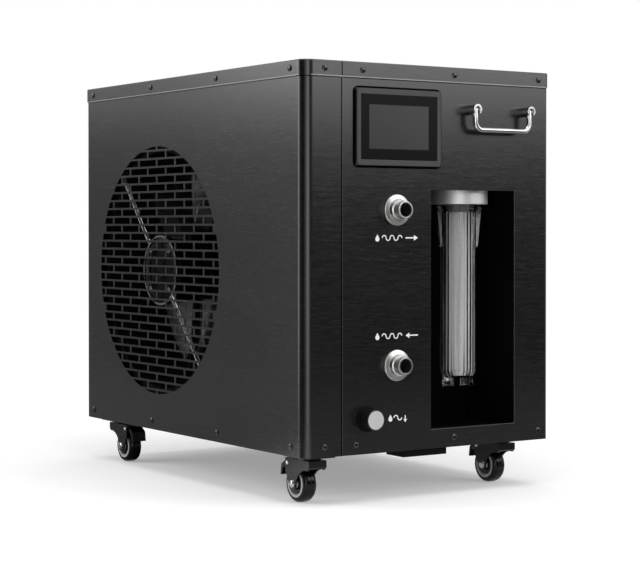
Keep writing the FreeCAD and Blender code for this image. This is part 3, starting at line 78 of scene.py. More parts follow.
class Wire:
    """A node's output that can be added, multiplied and compared with a wire or a number."""

    def __init__(self, finish, socket):
        self.finish = finish
        self.socket = socket

    def maths(self, operation, *values):
        return self.finish.node("ShaderNodeMath", {"operation": operation}, dict(enumerate(values)))

    def __add__(self, other):
        return self.maths("ADD", self, other)

    def __radd__(self, other):
        return self.maths("ADD", other, self)

    def __sub__(self, other):
        return self.maths("SUBTRACT", self, other)

    def __rsub__(self, other):
        return self.maths("SUBTRACT", other, self)

    def __mul__(self, other):
        return self.maths("MULTIPLY", self, other)

    def __rmul__(self, other):
        return self.maths("MULTIPLY", other, self)

    def __gt__(self, other):
        return self.maths("GREATER_THAN", self, other)

    def __lt__(self, other):
        return self.maths("LESS_THAN", self, other)

    def __abs__(self):
        return self.maths("ABSOLUTE", self)

    def larger(self, other):
        return self.maths("MAXIMUM", self, other)


class Finish:
    """A material or world with its nodes; node() makes any node and returns one of its outputs."""

    def __init__(self, name, world=False):
        self.owner = bpy.data.worlds.new(name) if world else bpy.data.materials.new(name)
        self.owner.use_nodes = True
        self.tree = self.owner.node_tree
        self.tree.nodes.clear()

    def node(self, kind, settings=None, inputs=None, output=0):
        made = self.tree.nodes.new(kind)
        for key, value in (settings or {}).items():
            setattr(made, key, value)
        for key, value in (inputs or {}).items():
            if isinstance(value, Wire):
                self.tree.links.new(value.socket, made.inputs[key])
            else:
                made.inputs[key].default_value = value
        return Wire(self, made.outputs[output]) if len(made.outputs) else None

    def where(self, scale=(1, 1, 1), place=(0, 0, 0)):
        spot = self.node("ShaderNodeTexCoord", output="Object")
        return self.node("ShaderNodeMapping", None, {"Vector": spot, "Location": place, "Scale": scale})

    def axes(self, spot):
        return [self.node("ShaderNodeSeparateXYZ", None, {0: spot}, output) for output in range(3)]

    def centred(self, middle):
        """Across, back and up, counted from a point."""
        return self.axes(self.where((1, 1, 1), (-middle[0], -middle[1], -middle[2])))

    def zigzag(self, value, height=1.0):
        return value.maths("PINGPONG", value, height)

    def noise(self, spot, scale, detail, rough=0.5):
        return self.node("ShaderNodeTexNoise", None,
                         {"Vector": spot, "Scale": scale, "Detail": detail, "Roughness": rough})

    def step(self, value, low, high):
        return self.node("ShaderNodeMapRange", {"interpolation_type": "SMOOTHSTEP"},
                         {"Value": value, "From Min": low, "From Max": high})

    def blend(self, share, first, second):
        return self.node("ShaderNodeMix", {"data_type": "RGBA"}, {0: share, 6: first, 7: second}, 2)

    def bump(self, height, strength, depth):
        return self.node("ShaderNodeBump", None, {"Height": height, "Strength": strength, "Distance": depth})

    def seen(self):
        """One for rays that come straight from the camera, by a mirror or through clear plastic."""
        straight, mirrored, passed = [self.node("ShaderNodeLightPath", output=ray)
                                      for ray in ("Is Camera Ray", "Is Glossy Ray", "Is Transmission Ray")]
        return straight.larger(mirrored).larger(passed)

    def glow(self, strength):
        return self.node("ShaderNodeEmission", None, {"Color": grey(1.0), "Strength": strength})

    def surface(self, **inputs):
        names = {key.replace("_", " "): value for key, value in inputs.items()}
        return self.show(self.node("ShaderNodeBsdfPrincipled", None, names))

    def show(self, shader):
        self.node("ShaderNodeOutputMaterial", None, {"Surface": shader})
        return self.owner


def tint(red, green, blue):
    return (red, green, blue, 1.0)


def grey(value):
    return tint(value, value, value)


# Sheet finish: the heights of the cover's painted highlight and shadow lines, then where the front's seam and
# window lie, which carry painted lines too

COVER_HEM = 0.5647
COVER_RIM = 0.5846
COVER_GAP = 0.5633
FRONT_SKIN = -0.3055
SEAM = -0.1478
SEAM_HIGHLIGHT_LINE = -0.1460
WINDOW_LEFT, WINDOW_RIGHT = -0.0006, 0.1454
WINDOW_LOW, WINDOW_HIGH = 0.0915, 0.4170
LINE = 0.0006
HIGHLIGHT_REACH = 0.0005
LIES_LEVEL = 0.7
STANDS_SQUARE = 0.96


def on_line(place, middle, reach=LINE):
    return abs(place - middle) < reach


def front_edge_highlights(across, back, up):
    """Thin painted highlight lines on the front: along the seam and on the window's right and lower edges."""
    beside = (up > WINDOW_LOW) * (up < WINDOW_HIGH)
    below = (across > WINDOW_LEFT) * (across < WINDOW_RIGHT + 2 * HIGHLIGHT_REACH)
    seam_highlight = on_line(across, SEAM_HIGHLIGHT_LINE, HIGHLIGHT_REACH) * 0.12
    window_right_highlight = on_line(across, WINDOW_RIGHT + HIGHLIGHT_REACH, HIGHLIGHT_REACH) * beside * 0.16
    window_low_highlight = on_line(up, WINDOW_LOW - HIGHLIGHT_REACH, HIGHLIGHT_REACH) * below * 0.3
    return seam_highlight.larger(window_right_highlight).larger(window_low_highlight) * (back < FRONT_SKIN)


def brushed_sheet():
    """Black sheet with fine level brush lines, across on the top; painted highlights on the cover's hemmed
    lower edge and top edge and on the front's edges, and painted shadow lines under the cover and along the
    seam.
    """
    finish = Finish("brushed_black_sheet")
    side, front, top = [abs(part) for part in finish.axes(finish.node("ShaderNodeTexCoord", output="Normal"))]
    flat = top > LIES_LEVEL
    straight = side.larger(front) > STANDS_SQUARE
    across, back, up = finish.axes(finish.node("ShaderNodeTexCoord", output="Object"))

    def brush(along, across_them, detail):
        drawn = finish.node("ShaderNodeCombineXYZ", None, {
            0: across * along, 1: back * (along + flat * across_them), 2: up * across_them})
        return finish.noise(drawn, 1.0, detail, 0.6)

    broad_lines = brush(14.0, 450.0, 3.0)
    fine_lines = brush(60.0, 1100.0, 2.0)
    cloud = finish.noise(finish.where((4, 4, 7)), 1.0, 3.0)
    height = broad_lines * 0.5 + fine_lines * 0.5
    tone = (broad_lines - 0.5) * 0.9 + (fine_lines - 0.5) * 1.3 + (cloud - 0.5) * 0.3 + 0.5
    coat = finish.blend(tone, tint(0.0025, 0.0025, 0.0026), tint(0.0092, 0.0092, 0.0096))
    # Painted highlights: a light grey line on the cover's hemmed lower edge and top edge and on the front's
    # edges, where light catches them
    painted_hem_highlight = on_line(up, COVER_HEM, 0.0007) * straight
    painted_rim = on_line(up, COVER_RIM) * (1.0 - flat) * straight
    # Painted shadow: the line under the cover and the front's seam are made black mirror metal
    painted_gap_shadow = on_line(up, COVER_GAP).larger(on_line(across, SEAM) * (back < FRONT_SKIN))
    painted_edge_highlights = front_edge_highlights(across, back, up)
    return finish.surface(
        Base_Color=finish.blend(painted_hem_highlight.larger(painted_rim).larger(painted_edge_highlights), coat, tint(0.22, 0.22, 0.225)),
        Metallic=painted_gap_shadow,
        Roughness=0.24 + (fine_lines - 0.5) * 0.18 + (broad_lines - 0.5) * 0.06 + (cloud - 0.5) * 0.05,
        Normal=finish.bump(height, 0.05, 0.0002),
        Specular_IOR_Level=0.5)


# Finishes of the other pieces

def speckled(name, dark, light, roughness, grain, strength, specular=0.5):
    """Powder coat or moulded plastic: a fine grain in height, tone and gloss."""
    finish = Finish(name)
    grains = finish.noise(finish.where(), grain, 3.0)
    patches = finish.noise(finish.where(), 14.0, 3.0)
    return finish.surface(
        Base_Color=finish.blend(patches * 0.6 + grains * 0.4, dark, light),
        Roughness=roughness + (patches - 0.5) * 0.12 + (grains - 0.5) * 0.1,
        Normal=finish.bump(grains, strength, 0.0002),
        Specular_IOR_Level=specular)


def bare_metal(name, colour, roughness, marks, lines, metallic=1.0):
    """Bare metal with turning or drawing marks, which run along the axes of the smaller scales."""
    finish = Finish(name)
    drawn = finish.noise(finish.where(marks), 1.0, 3.0)
    smudge = finish.noise(finish.where(), 30.0, 3.0)
    darker = tuple(part * 0.82 for part in colour[:3]) + (1.0,)
    return finish.surface(
        Base_Color=finish.blend(drawn * 0.5 + smudge * 0.5, darker, colour),
        Metallic=metallic,
        Roughness=roughness + (smudge - 0.5) * 0.1 + (drawn - 0.5) * 0.1,
        Normal=finish.bump(drawn, lines, 0.0001))


COLLAR_DROP = 0.0105
FLUTES_PER_RADIAN = 9.0
RINGS_PER_METRE = 400.0


def clear_plastic(centre, collar):
    """Clear moulding with upright flutes round its axis; the collar at the top is ringed and darker."""
    finish = Finish("clear_plastic")
    flow = finish.noise(finish.where((60, 60, 8)), 1.0, 2.0)
    across, back, up = finish.centred((centre.x, centre.y, 0))
    ringed = up > collar
    ring = finish.zigzag((up - collar) * RINGS_PER_METRE)
    flute = finish.zigzag(back.maths("ARCTAN2", back, across) * FLUTES_PER_RADIAN)
    height = finish.step(flute, 0.1, 0.9) * (1.0 - ringed) + ring * ringed + flow * 0.3
    glass = finish.blend(flow, grey(0.9), grey(0.98))
    return finish.surface(
        Base_Color=finish.blend(ringed, glass, grey(0.32)),
        Roughness=0.03 + flow * 0.05,
        IOR=1.42,
        Transmission_Weight=1.0,
        Normal=finish.bump(height, 0.9, 0.0007))


DISPLAY_MIDDLE = (-0.0008, 0.0004)
DISPLAY_HALF = (0.0489, 0.0293)


def screen_glass(centre):
    """Dark front glass; the display area behind it is lighter, with painted shading that gets lighter towards
    the top right.
    """
    finish = Finish("screen_glass")
    across, _, up = finish.centred((centre.x, 0, centre.z))
    inside = (on_line(across, DISPLAY_MIDDLE[0], DISPLAY_HALF[0])
              * on_line(up, DISPLAY_MIDDLE[1], DISPLAY_HALF[1]))
    painted_shading = finish.step(up + across * 0.4, -0.05, 0.06)
    film = finish.noise(finish.where(), 2500.0, 2.0)
    shaded_display = finish.blend(painted_shading, tint(0.044, 0.044, 0.046), tint(0.06, 0.06, 0.062))
    return finish.surface(
        Base_Color=finish.blend(inside, tint(0.001, 0.001, 0.0011), shaded_display),
        Roughness=0.34 + inside * 0.14 + film * 0.04,
        Normal=finish.bump(film, 0.04, 0.0001),
        Specular_IOR_Level=0.08)


def bezel_plastic(low, high):
    """Grained grey plastic; the rounded outer edge is painted black as the shadow round the bezel."""
    finish = Finish("bezel_plastic")
    middle = (low + high) / 2
    reach = (high - low) / 2
    across, _, up = finish.centred((middle.x, 0, middle.z))
    to_edge = (abs(across) - reach.x).larger(abs(up) - reach.z)
    # Painted shadow: the outer edge turns to black mirror metal
    painted_rim = finish.step(to_edge, -0.0032, -0.0024)
    grains = finish.noise(finish.where(), 1600.0, 3.0)
    face = finish.blend(grains, tint(0.036, 0.036, 0.037), tint(0.05, 0.05, 0.052))
    return finish.surface(
        Base_Color=finish.blend(painted_rim, face, grey(0.0005)),
        Metallic=painted_rim,
        Roughness=0.5 + (grains - 0.5) * 0.1,
        Normal=finish.bump(grains, 0.15, 0.0002),
        Specular_IOR_Level=0.3)


def fin_stack():
    """Aluminium fins at 2 mm, seen edge on, with the tube rows behind; the dark bands between the fins are
    painted shadow in the spaces between them.
    """
    finish = Finish("coil_fins")
    _, back, up = finish.axes(finish.where())
    fin = finish.zigzag(back * 1000.0)
    rows = finish.zigzag(up * 1000.0, 14.0) * 0.07
    return finish.surface(
        Base_Color=finish.blend(fin * 0.7 + rows * 0.3, grey(0.05), tint(0.42, 0.43, 0.44)),
        Metallic=0.8,
        Roughness=0.45 + fin * 0.1,
        Normal=finish.bump(fin, 0.8, 0.0008))


black_sheet = brushed_sheet()
liner = speckled("black_powder_coat", grey(0.001), grey(0.003), 0.6, 1400.0, 0.3, 0.08)
plastic = speckled("moulded_black_plastic", tint(0.013, 0.013, 0.014), tint(0.026, 0.026, 0.028), 0.36,
                   1800.0, 0.18)
knob_plastic = speckled("knob_black_plastic", grey(0.003), grey(0.006), 0.4, 1500.0, 0.15, 0.3)
enamel = speckled("black_enamel", grey(0.008), grey(0.016), 0.26, 500.0, 0.08)
motor_enamel = speckled("motor_enamel", grey(0.001), grey(0.003), 0.28, 500.0, 0.12, 0.05)
caster_coat = speckled("caster_black_coat", grey(0.002), grey(0.004), 0.26, 700.0, 0.1, 0.3)
tyre_rubber = speckled("polished_rubber", grey(0.002), grey(0.004), 0.2, 900.0, 0.06, 0.2)
hub_plastic = speckled("hub_plastic", grey(0.42), grey(0.55), 0.35, 900.0, 0.08)
rubber = speckled("hose_rubber", grey(0.012), grey(0.03), 0.6, 1200.0, 0.4, 0.3)
foam = speckled("closed_cell_foam", grey(0.01), grey(0.035), 0.85, 500.0, 0.9, 0.2)
white_fleece = speckled("filter_fleece", grey(0.7), grey(0.86), 0.75, 700.0, 0.5, 0.3)
white_print = speckled("white_print", grey(0.82), grey(0.9), 0.45, 1500.0, 0.1)
head_alloy = bare_metal("spun_aluminium", tint(0.6, 0.6, 0.605), 0.46, (25, 25, 1400), 0.08, 0.75)
face_alloy = bare_metal("satin_aluminium", tint(0.62, 0.62, 0.63), 0.5, (900, 900, 900), 0.04, 0.3)
stainless = bare_metal("turned_stainless", tint(0.5, 0.495, 0.485), 0.3, (30, 600, 30), 0.02)
chrome = bare_metal("chrome_plate", tint(0.52, 0.52, 0.53), 0.14, (60, 60, 60), 0.02)
rod_steel = bare_metal("drawn_steel", tint(0.32, 0.32, 0.33), 0.2, (300, 300, 300), 0.05)
copper = bare_metal("drawn_copper", tint(0.72, 0.38, 0.24), 0.25, (200, 200, 200), 0.06)
screw_black = speckled("blackened_steel", grey(0.001), grey(0.002), 0.15, 400.0, 0.08, 0.6)
rotor_plastic = speckled("rotor_plastic", grey(0.001), grey(0.003), 0.22, 700.0, 0.08, 0.14)
white_cap = speckled("white_moulding", grey(0.5), grey(0.6), 0.4, 1500.0, 0.08)
clear = clear_plastic(middle_of("filter_bowl"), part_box("filter_head")[0].z - COLLAR_DROP)
fins = fin_stack()
screen = screen_glass(middle_of("display_glass"))
bezel = bezel_plastic(*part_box("display_bezel"))

NODE_FINISH = {
    "base_pan": black_sheet, "left_side_panel": black_sheet, "front_panel": black_sheet,
    "right_side_panel": black_sheet, "rear_panel": black_sheet, "top_cover": black_sheet,
    "filter_recess": liner, "drain_sump": liner, "control_box": liner,
    "filter_head": head_alloy, "drain_knob_face": face_alloy,
    "filter_bowl": clear, "filter_cartridge": white_fleece,
    "display_bezel": bezel, "drain_collar": liner, "drain_knob": knob_plastic,
    "fan_rotor": rotor_plastic, "fan_shroud": liner, "power_inlet": plastic,
    "circulation_pump": plastic, "display_glass": screen,
    "outlet_fitting": stainless, "inlet_fitting": stainless, "fitting_lock_nuts": stainless,
    "handle_bosses": chrome, "handle_pins": chrome, "handle_bail": chrome,
    "fan_motor": motor_enamel, "compressor": enamel, "casing_screws": enamel,
    "fan_bracket": rod_steel, "condenser_coil": fins, "heat_exchanger": foam,
    "compressor_grommets": rubber, "water_hoses": rubber, "refrigerant_pipes": copper,
}
CASTER_FINISH = {"plate": caster_coat, "fork": caster_coat, "pedal": caster_coat,
                 "axle": chrome, "hub": hub_plastic, "tyre": tyre_rubber}
CASTERS = ("front_left", "front_right", "rear_left", "rear_right")
for corner in CASTERS:
    for part, material in CASTER_FINISH.items():
        NODE_FINISH["%s_caster_%s" % (corner, part)] = material
for name, material in NODE_FINISH.items():
    nodes[name].data.materials.clear()
    nodes[name].data.materials.append(material)

BODY_OF = {name: body for body, names in frame["record"]["behaviour"]["bodies"].items() for name in names}


# Modelling: every step starts with nothing else selected, sizes are in millimetres

TURN = {"Z": (0, 0, 0), "-Z": (180, 0, 0), "X": (0, 90, 0), "-X": (0, -90, 0),
        "-Y": (90, 0, 0), "Y": (-90, 0, 0)}
WELD = 0.000001


def take(piece):
    if bpy.context.mode != "OBJECT":
        bpy.ops.object.mode_set(mode="OBJECT")
    bpy.ops.object.select_all(action="DESELECT")
    piece.select_set(True)
    bpy.context.view_layer.objects.active = piece


def edit(piece):
    take(piece)
    bpy.ops.object.mode_set(mode="EDIT")
    bpy.ops.mesh.select_all(action="SELECT")


def pick(piece, test):
    """In edit mode, select the points that pass a test of their place and number."""
    bpy.ops.mesh.select_mode(type="VERT")
    bpy.ops.mesh.select_all(action="DESELECT")
    bpy.ops.object.mode_set(mode="OBJECT")
    for point in piece.data.vertices:
        point.select = test(point.co / MM, point.index)
    bpy.ops.object.mode_set(mode="EDIT")


def draw_out(distance, wide=1.0, height=0.0):
    """Extrude what is selected along Z and widen it about the axis."""
    bpy.ops.mesh.extrude_region_move(TRANSFORM_OT_translate={"value": (0, 0, distance * MM)})
    bpy.ops.transform.resize(value=(wide, wide, 1), center_override=(0, 0, height * MM))


def close_up(piece):
    bpy.ops.mesh.select_all(action="SELECT")
    bpy.ops.mesh.remove_doubles(threshold=WELD)
    bpy.ops.mesh.normals_make_consistent(inside=False)
    take(piece)


def fix(piece):
    take(piece)
    bpy.ops.object.transform_apply(location=True, rotation=True, scale=True)


def settle(piece, place, axis="Z"):
    """Turn the piece's Z to the axis, move it to its place and leave its origin at zero."""
    fix(piece)
    piece.rotation_euler = [math.radians(angle) for angle in TURN[axis]]
    piece.location = Vector(place) * MM
    fix(piece)


def use(piece, kind, **settings):
    take(piece)
    modifier = piece.modifiers.new(kind.lower(), kind)
    for key, value in settings.items():
        setattr(modifier, key, value)
    bpy.ops.object.modifier_apply(modifier=modifier.name)


def dress(piece, finish, body, *stands_for, sharp=30, level_faces=False):
    """Shade the piece, give it its finish and let it ride on its body."""
    take(piece)
    bpy.ops.object.shade_smooth_by_angle(angle=math.radians(sharp))
    if level_faces:
        use(piece, "WEIGHTED_NORMAL", keep_sharp=True, weight=100)
    piece.data.materials.clear()
    piece.data.materials.append(finish)
    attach(piece, body)
    if stands_for:
        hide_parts(*stands_for)


def circle(name, radius, height=0.0, steps=48, filled=True):
    bpy.ops.object.select_all(action="DESELECT")
    bpy.ops.mesh.primitive_circle_add(vertices=steps, radius=radius * MM, location=(0, 0, height * MM),
                                      fill_type="NGON" if filled else "NOTHING")
    bpy.context.object.name = name
    return bpy.context.object


def slab(name, wide, deep, tall, place=(0, 0, 0)):
    """A block of the given size; with no height it is a flat plate."""
    bpy.ops.object.select_all(action="DESELECT")
    if tall:
        bpy.ops.mesh.primitive_cube_add(size=MM)
    else:
        bpy.ops.mesh.primitive_plane_add(size=MM)
    piece = bpy.context.object
    piece.name = name
    piece.scale = (wide, deep, tall or 1)
    settle(piece, place)
    return piece


def turned(name, rings, place=(0, 0, 0), axis="Z", steps=48, hollow=False):
    """Turn a piece: a circle drawn out through rings of (radius, distance along the axis)."""
    piece = circle(name, rings[0][0], rings[0][1], steps, not hollow)
    edit(piece)
    for (before, low), (after, high) in zip(rings, rings[1:]):
        draw_out(high - low, after / before, high)
    close_up(piece)
    settle(piece, place, axis)
    return piece


def copied(piece, name):
    """A copy with its own mesh."""
    twin = bpy.data.objects.new(name, piece.data.copy())
    bpy.context.scene.collection.objects.link(twin)
    return twin


def drop_pattern(piece):
    bpy.data.objects.remove(piece, do_unlink=True)


def carve(piece, block):
    use(piece, "BOOLEAN", operation="DIFFERENCE", object=block, solver="EXACT")
    drop_pattern(block)


def edged(node, width, blocks=()):
    """A merged copy of a CAD node, carved and with small round edges, which stands for it."""
    piece = copied(nodes[node], node + "_edged")
    edit(piece)
    bpy.ops.mesh.remove_doubles(threshold=2 * WELD)
    bpy.ops.mesh.dissolve_limited(angle_limit=math.radians(LEVEL_WITHIN))
    take(piece)
    for block in blocks:
        carve(piece, block)
    if width:
        use(piece, "BEVEL", width=width * MM, segments=2, limit_method="ANGLE",
            angle_limit=math.radians(ROUND_ABOVE))
    dress(piece, NODE_FINISH[node], BODY_OF[node], node, level_faces=width > 0)


# Sheet metal, castings and mouldings keep the CAD form and get rounded edges of these widths

LEVEL_WITHIN = 0.5
ROUND_ABOVE = 32
EDGES = {
    "top_cover": 0.35, "front_panel": 0.5, "right_side_panel": 0.3, "rear_panel": 0.3, "base_pan": 0.3,
    "filter_recess": 0.3, "drain_sump": 0.8, "display_bezel": 0.6, "display_glass": 0.25,
    "filter_head": 0.5, "filter_bowl": 0.0, "drain_collar": 0.4, "drain_knob_face": 0.2,
    "handle_bosses": 0.5, "handle_bail": 0.0, "handle_pins": 0.3, "outlet_fitting": 0.35,
    "inlet_fitting": 0.35, "power_inlet": 0.4, "fan_shroud": 0.4, "fan_rotor": 0.3, "fan_bracket": 0.0,
}
CASTER_EDGES = {"plate": 0.4, "fork": 0.4, "pedal": 0.5, "hub": 0.3}
GRILLE = middle_of("fan_motor") / MM
GRILLE_RADIUS = 183.5
GRILLE_WALL = -206.0
END_ROW = 179.15
WEB = 4.8
THROUGH = 4


def end_slot(level, side):
    """A block with the outline of a short slot, at the grille's top or bottom end (level 1 or -1)."""
    block = turned("end_slot", [(GRILLE_RADIUS, -THROUGH), (GRILLE_RADIUS, THROUGH)], steps=240)
    edit(block)
    for spot, face in (((-level * END_ROW, 0, 0), (level, 0, 0)), ((0, side * WEB / 2, 0), (0, -side, 0))):
        bpy.ops.mesh.select_all(action="SELECT")
        bpy.ops.mesh.bisect(plane_co=Vector(spot) * MM, plane_no=face, use_fill=True, clear_outer=True)
    close_up(block)
    settle(block, (GRILLE_WALL, GRILLE.y, GRILLE.z), "X")
    return block


for name, width in EDGES.items():
    edged(name, width)
edged("left_side_panel", 0.2, [end_slot(level, side) for level in (1, -1) for side in (1, -1)])
for corner in CASTERS:
    for part, width in CASTER_EDGES.items():
        edged("%s_caster_%s" % (corner, part), width)


# Casing screws: low round heads with a cross recess, in the cover's row and then the panels' row

SCREW_LEVELS = (574.5, 78.3)
SIDE_SCREWS = (-274.2, -81.5, 111.1, 303.8)
FRONT_SCREWS = ((-174.3, -114.0, 39.0, 188.5), (-174.3, -124.5, 39.0, 188.5))
REAR_SCREWS = (-182.0, 0.0, 182.0)
SKIN = ((208.0, -307.2, 324.8), (206.8, -306.0, 323.6))
SCREW_HEAD = [(4.3, -0.1), (4.4, 0.25), (4.35, 0.7), (3.9, 1.3), (3.1, 1.8), (2.1, 2.1), (1.0, 2.2)]
SCREW_TOP = 2.2
CROSS = (3.2, 0.8)


def cross_screw():
    screw = turned("screw", SCREW_HEAD, steps=24)
    for length, width in (CROSS, CROSS[::-1]):
        blade = slab("blade", length, width, SCREW_TOP, (0, 0, SCREW_TOP))
        edit(blade)
        pick(blade, lambda spot, number: spot.z < SCREW_TOP)
        bpy.ops.transform.resize(value=(0.7, 0.7, 1), center_override=(0, 0, SCREW_TOP * MM))
        carve(screw, blade)
    return screw


screw = cross_screw()
seats = []
for level, height in enumerate(SCREW_LEVELS):
    side, front, rear = SKIN[level]
    seats += [((-side, back, height), "-X") for back in SIDE_SCREWS]
    seats += [((side, back, height), "X") for back in SIDE_SCREWS]
    seats += [((across, front, height), "-Y") for across in FRONT_SCREWS[level]]
    seats += [((across, rear, height), "Y") for across in REAR_SCREWS]
for number, (seat, axis) in enumerate(seats, 1):
    head = copied(screw, "casing_screw_%02d" % number)
    settle(head, seat, axis)
    dress(head, screw_black, "cabinet", "casing_screws")
drop_pattern(screw)


# Water filter: pleated cartridge between two end caps

cartridge_low, cartridge_high = (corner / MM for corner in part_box("filter_cartridge"))
FILTER = middle_of("filter_cartridge") / MM
PLEATS = 34
PLEAT_RADIUS = 17.0
FOLD_SHARES = {1: 0.95, 2: 0.84, 3: 0.95}
CAP = 5.0
CAP_RINGS = [(15.5, 0), (17.3, 0), (18, 0.7), (18, 4.3), (17.5, 5), (15, 5)]
INTO_CAP = 0.5


def pleats():
    """Four points to a fold: the third lies deepest, its neighbours on the slopes."""
    piece = circle("filter_pleats", PLEAT_RADIUS, cartridge_low.z + CAP - INTO_CAP, 4 * PLEATS)
    edit(piece)
    for place, share in FOLD_SHARES.items():
        pick(piece, lambda spot, number: number % 4 == place)
        bpy.ops.transform.resize(value=(share, share, 1), center_override=(0, 0, 0))
    bpy.ops.mesh.select_all(action="SELECT")
    draw_out(cartridge_high.z - cartridge_low.z - 2 * (CAP - INTO_CAP))
    close_up(piece)
    settle(piece, (FILTER.x, FILTER.y, 0))
    return piece


dress(pleats(), white_fleece, "cartridge", "filter_cartridge", sharp=50)
for name, height, axis in (("cap_low", cartridge_low.z, "Z"), ("cap_high", cartridge_high.z, "-Z")):
    cap = turned("cartridge_" + name, CAP_RINGS, (FILTER.x, FILTER.y, height), axis, 64)
    dress(cap, white_cap, "cartridge", "filter_cartridge")


# Signs beside the water fittings: a drop, a wave and an arrow for the way the water runs

PRINT = 0.1
FRONT_FACE = -306.0
DROP_RADIUS = 3.3
DROP_SHOULDER = 1.7
DROP_TIP = 3.0
WAVE_OUTER, WAVE_INNER = 4.0, 2.5
WAVE_STEP = WAVE_OUTER + WAVE_INNER
SHAFT_WIDTH = 1.7


def flat_print(piece):
    edit(piece)
    draw_out(PRINT)
    close_up(piece)
    return piece


def drop_print():
    """A disc whose upper points are taken out but one, which is drawn up to a tip."""
    drop = circle("drop", DROP_RADIUS, steps=24)
    edit(drop)
    pick(drop, lambda spot, number: spot.y > DROP_SHOULDER and abs(spot.x) > 0.1)
    bpy.ops.mesh.dissolve_verts()
    pick(drop, lambda spot, number: spot.y > DROP_RADIUS - 0.1)
    bpy.ops.transform.translate(value=(0, DROP_TIP * MM, 0))
    bpy.ops.mesh.select_all(action="SELECT")
    bpy.ops.transform.translate(value=(0, -DROP_TIP / 2 * MM, 0))
    return flat_print(drop)


def half_wave(upward):
    ring = [(WAVE_OUTER, 0), (WAVE_OUTER, PRINT), (WAVE_INNER, PRINT), (WAVE_INNER, 0), (WAVE_OUTER, 0)]
    half = turned("half_wave", ring, steps=40, hollow=True)
    edit(half)
    bpy.ops.mesh.bisect(plane_co=(0, 0, 0), plane_no=(0, 1, 0), clear_inner=upward, clear_outer=not upward,
                        use_fill=True)
    close_up(half)
    return half


def arrow_print(shaft, wide, point):
    """A plate drawn out to a wide head, which narrows to a point."""
    arrow = slab("arrow", shaft, SHAFT_WIDTH, 0)
    edit(arrow)
    pick(arrow, lambda spot, number: spot.x > 0)
    bpy.ops.mesh.extrude_region_move(TRANSFORM_OT_translate={"value": (0.01 * MM, 0, 0)})
    bpy.ops.transform.resize(value=(1, wide / SHAFT_WIDTH, 1), center_override=(shaft / 2 * MM, 0, 0))
    bpy.ops.mesh.extrude_region_move(TRANSFORM_OT_translate={"value": (point * MM, 0, 0)})
    bpy.ops.mesh.merge(type="CENTER")
    return flat_print(arrow)


def wave_prints(start, count):
    return [(trough if turn % 2 else crest, start + turn * WAVE_STEP, 0) for turn in range(count)]


def sign(name, across, height, marks):
    """Copies of the marks at (mark, across, quarter turns), joined on the panel."""
    twins = []
    for mark, along, quarters in marks:
        twin = copied(mark, name)
        twin.rotation_euler = (0, 0, math.radians(90 * quarters))
        twin.location = (along * MM, 0, 0)
        fix(twin)
        twins.append(twin)
    first = twins[0]
    take(first)
    for twin in twins:
        twin.select_set(True)
    bpy.ops.object.join()
    settle(first, (across, FRONT_FACE, height), "-Y")
    dress(first, white_print, "cabinet")


drop = drop_print()
crest = half_wave(True)
trough = half_wave(False)
arrow = arrow_print(14, 7.6, 6.5)
short_arrow = arrow_print(5, 6.0, 4.4)
sign("outlet_sign", -58.0, 352.0, [(drop, -32.0, 0), *wave_prints(-21.0, 5), (arrow, 21.5, 0)])
sign("inlet_sign", -58.0, 220.6, [(drop, -32.0, 0), *wave_prints(-21.0, 5), (arrow, 28.0, 2)])
sign("drain_sign", -57.0, 110.5, [(drop, -11.5, 0), *wave_prints(-2.5, 2), (short_arrow, 13.0, -1)])
for mark in (drop, crest, trough, arrow, short_arrow):
    drop_pattern(mark)


# Drain valve: black knob with a grooved grip

KNOB = (-106.0, FRONT_FACE, 111.5)
KNOB_RINGS = [(4, -12), (4, 3.4), (13, 3.4), (14, 4.2), (14, 5.2), (14, 18.4), (14, 19.2), (13.2, 20),
              (12.5, 20), (12.5, 18.8)]
KNOB_STEPS = 72
GRIP_LOW, GRIP_HIGH = 5, 19
GROOVE_SHARE = 0.955


def grooved_knob():
    knob = turned("drain_knob_grip", KNOB_RINGS, steps=KNOB_STEPS)
    edit(knob)
    pick(knob, lambda spot, number: GRIP_LOW < spot.z < GRIP_HIGH and spot.xy.length > 13.9
         and round(math.atan2(spot.y, spot.x) / math.tau * KNOB_STEPS) % 2)
    bpy.ops.transform.resize(value=(GROOVE_SHARE, GROOVE_SHARE, 1), center_override=(0, 0, 0))
    close_up(knob)
    settle(knob, KNOB, "-Y")
    return knob


dress(grooved_knob(), knob_plastic, "drain_valve", "drain_knob", sharp=24)


# Fan motor: ribbed can with a stepped end cover held by four screws

motor_low, motor_high = (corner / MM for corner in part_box("fan_motor"))
MOTOR = (motor_high.x, GRILLE.y, GRILLE.z)
RIBS = 6
RIB_PITCH = 3.4
FIRST_RIB = 9.6
MOTOR_SCREW = [(3.4, -0.4), (3.6, 0.4), (3.3, 1.4), (2.2, 2.0), (1.5, 1.4)]
MOTOR_SCREW_CIRCLE = 40

rings = [(6.3, 22), (6.3, 0), (46, 0), (48.4, 1), (49, 3), (49, 9)]
for rib in range(RIBS):
    start = FIRST_RIB + rib * RIB_PITCH
    rings += [(47.4, start), (47.4, start + 1.6), (49, start + 2.2), (49, start + 3)]
rings += [(49, 36.6), (48, 38.8), (45, 40), (33, 40), (31.5, 38.4), (14, 38.4), (13, 39.4), (5, 39.4)]
dress(turned("fan_motor_can", rings, MOTOR, "-X", 64), motor_enamel, "cabinet", "fan_motor")
for number in range(4):
    angle = math.radians(45 + 90 * number)
    spot = (motor_low.x, GRILLE.y + MOTOR_SCREW_CIRCLE * math.cos(angle),
            GRILLE.z + MOTOR_SCREW_CIRCLE * math.sin(angle))
    head = turned("motor_screw_%d" % (number + 1), MOTOR_SCREW, spot, "-X", 20)
    dress(head, stainless, "cabinet")


# Power inlet: three flat pins in the socket's well

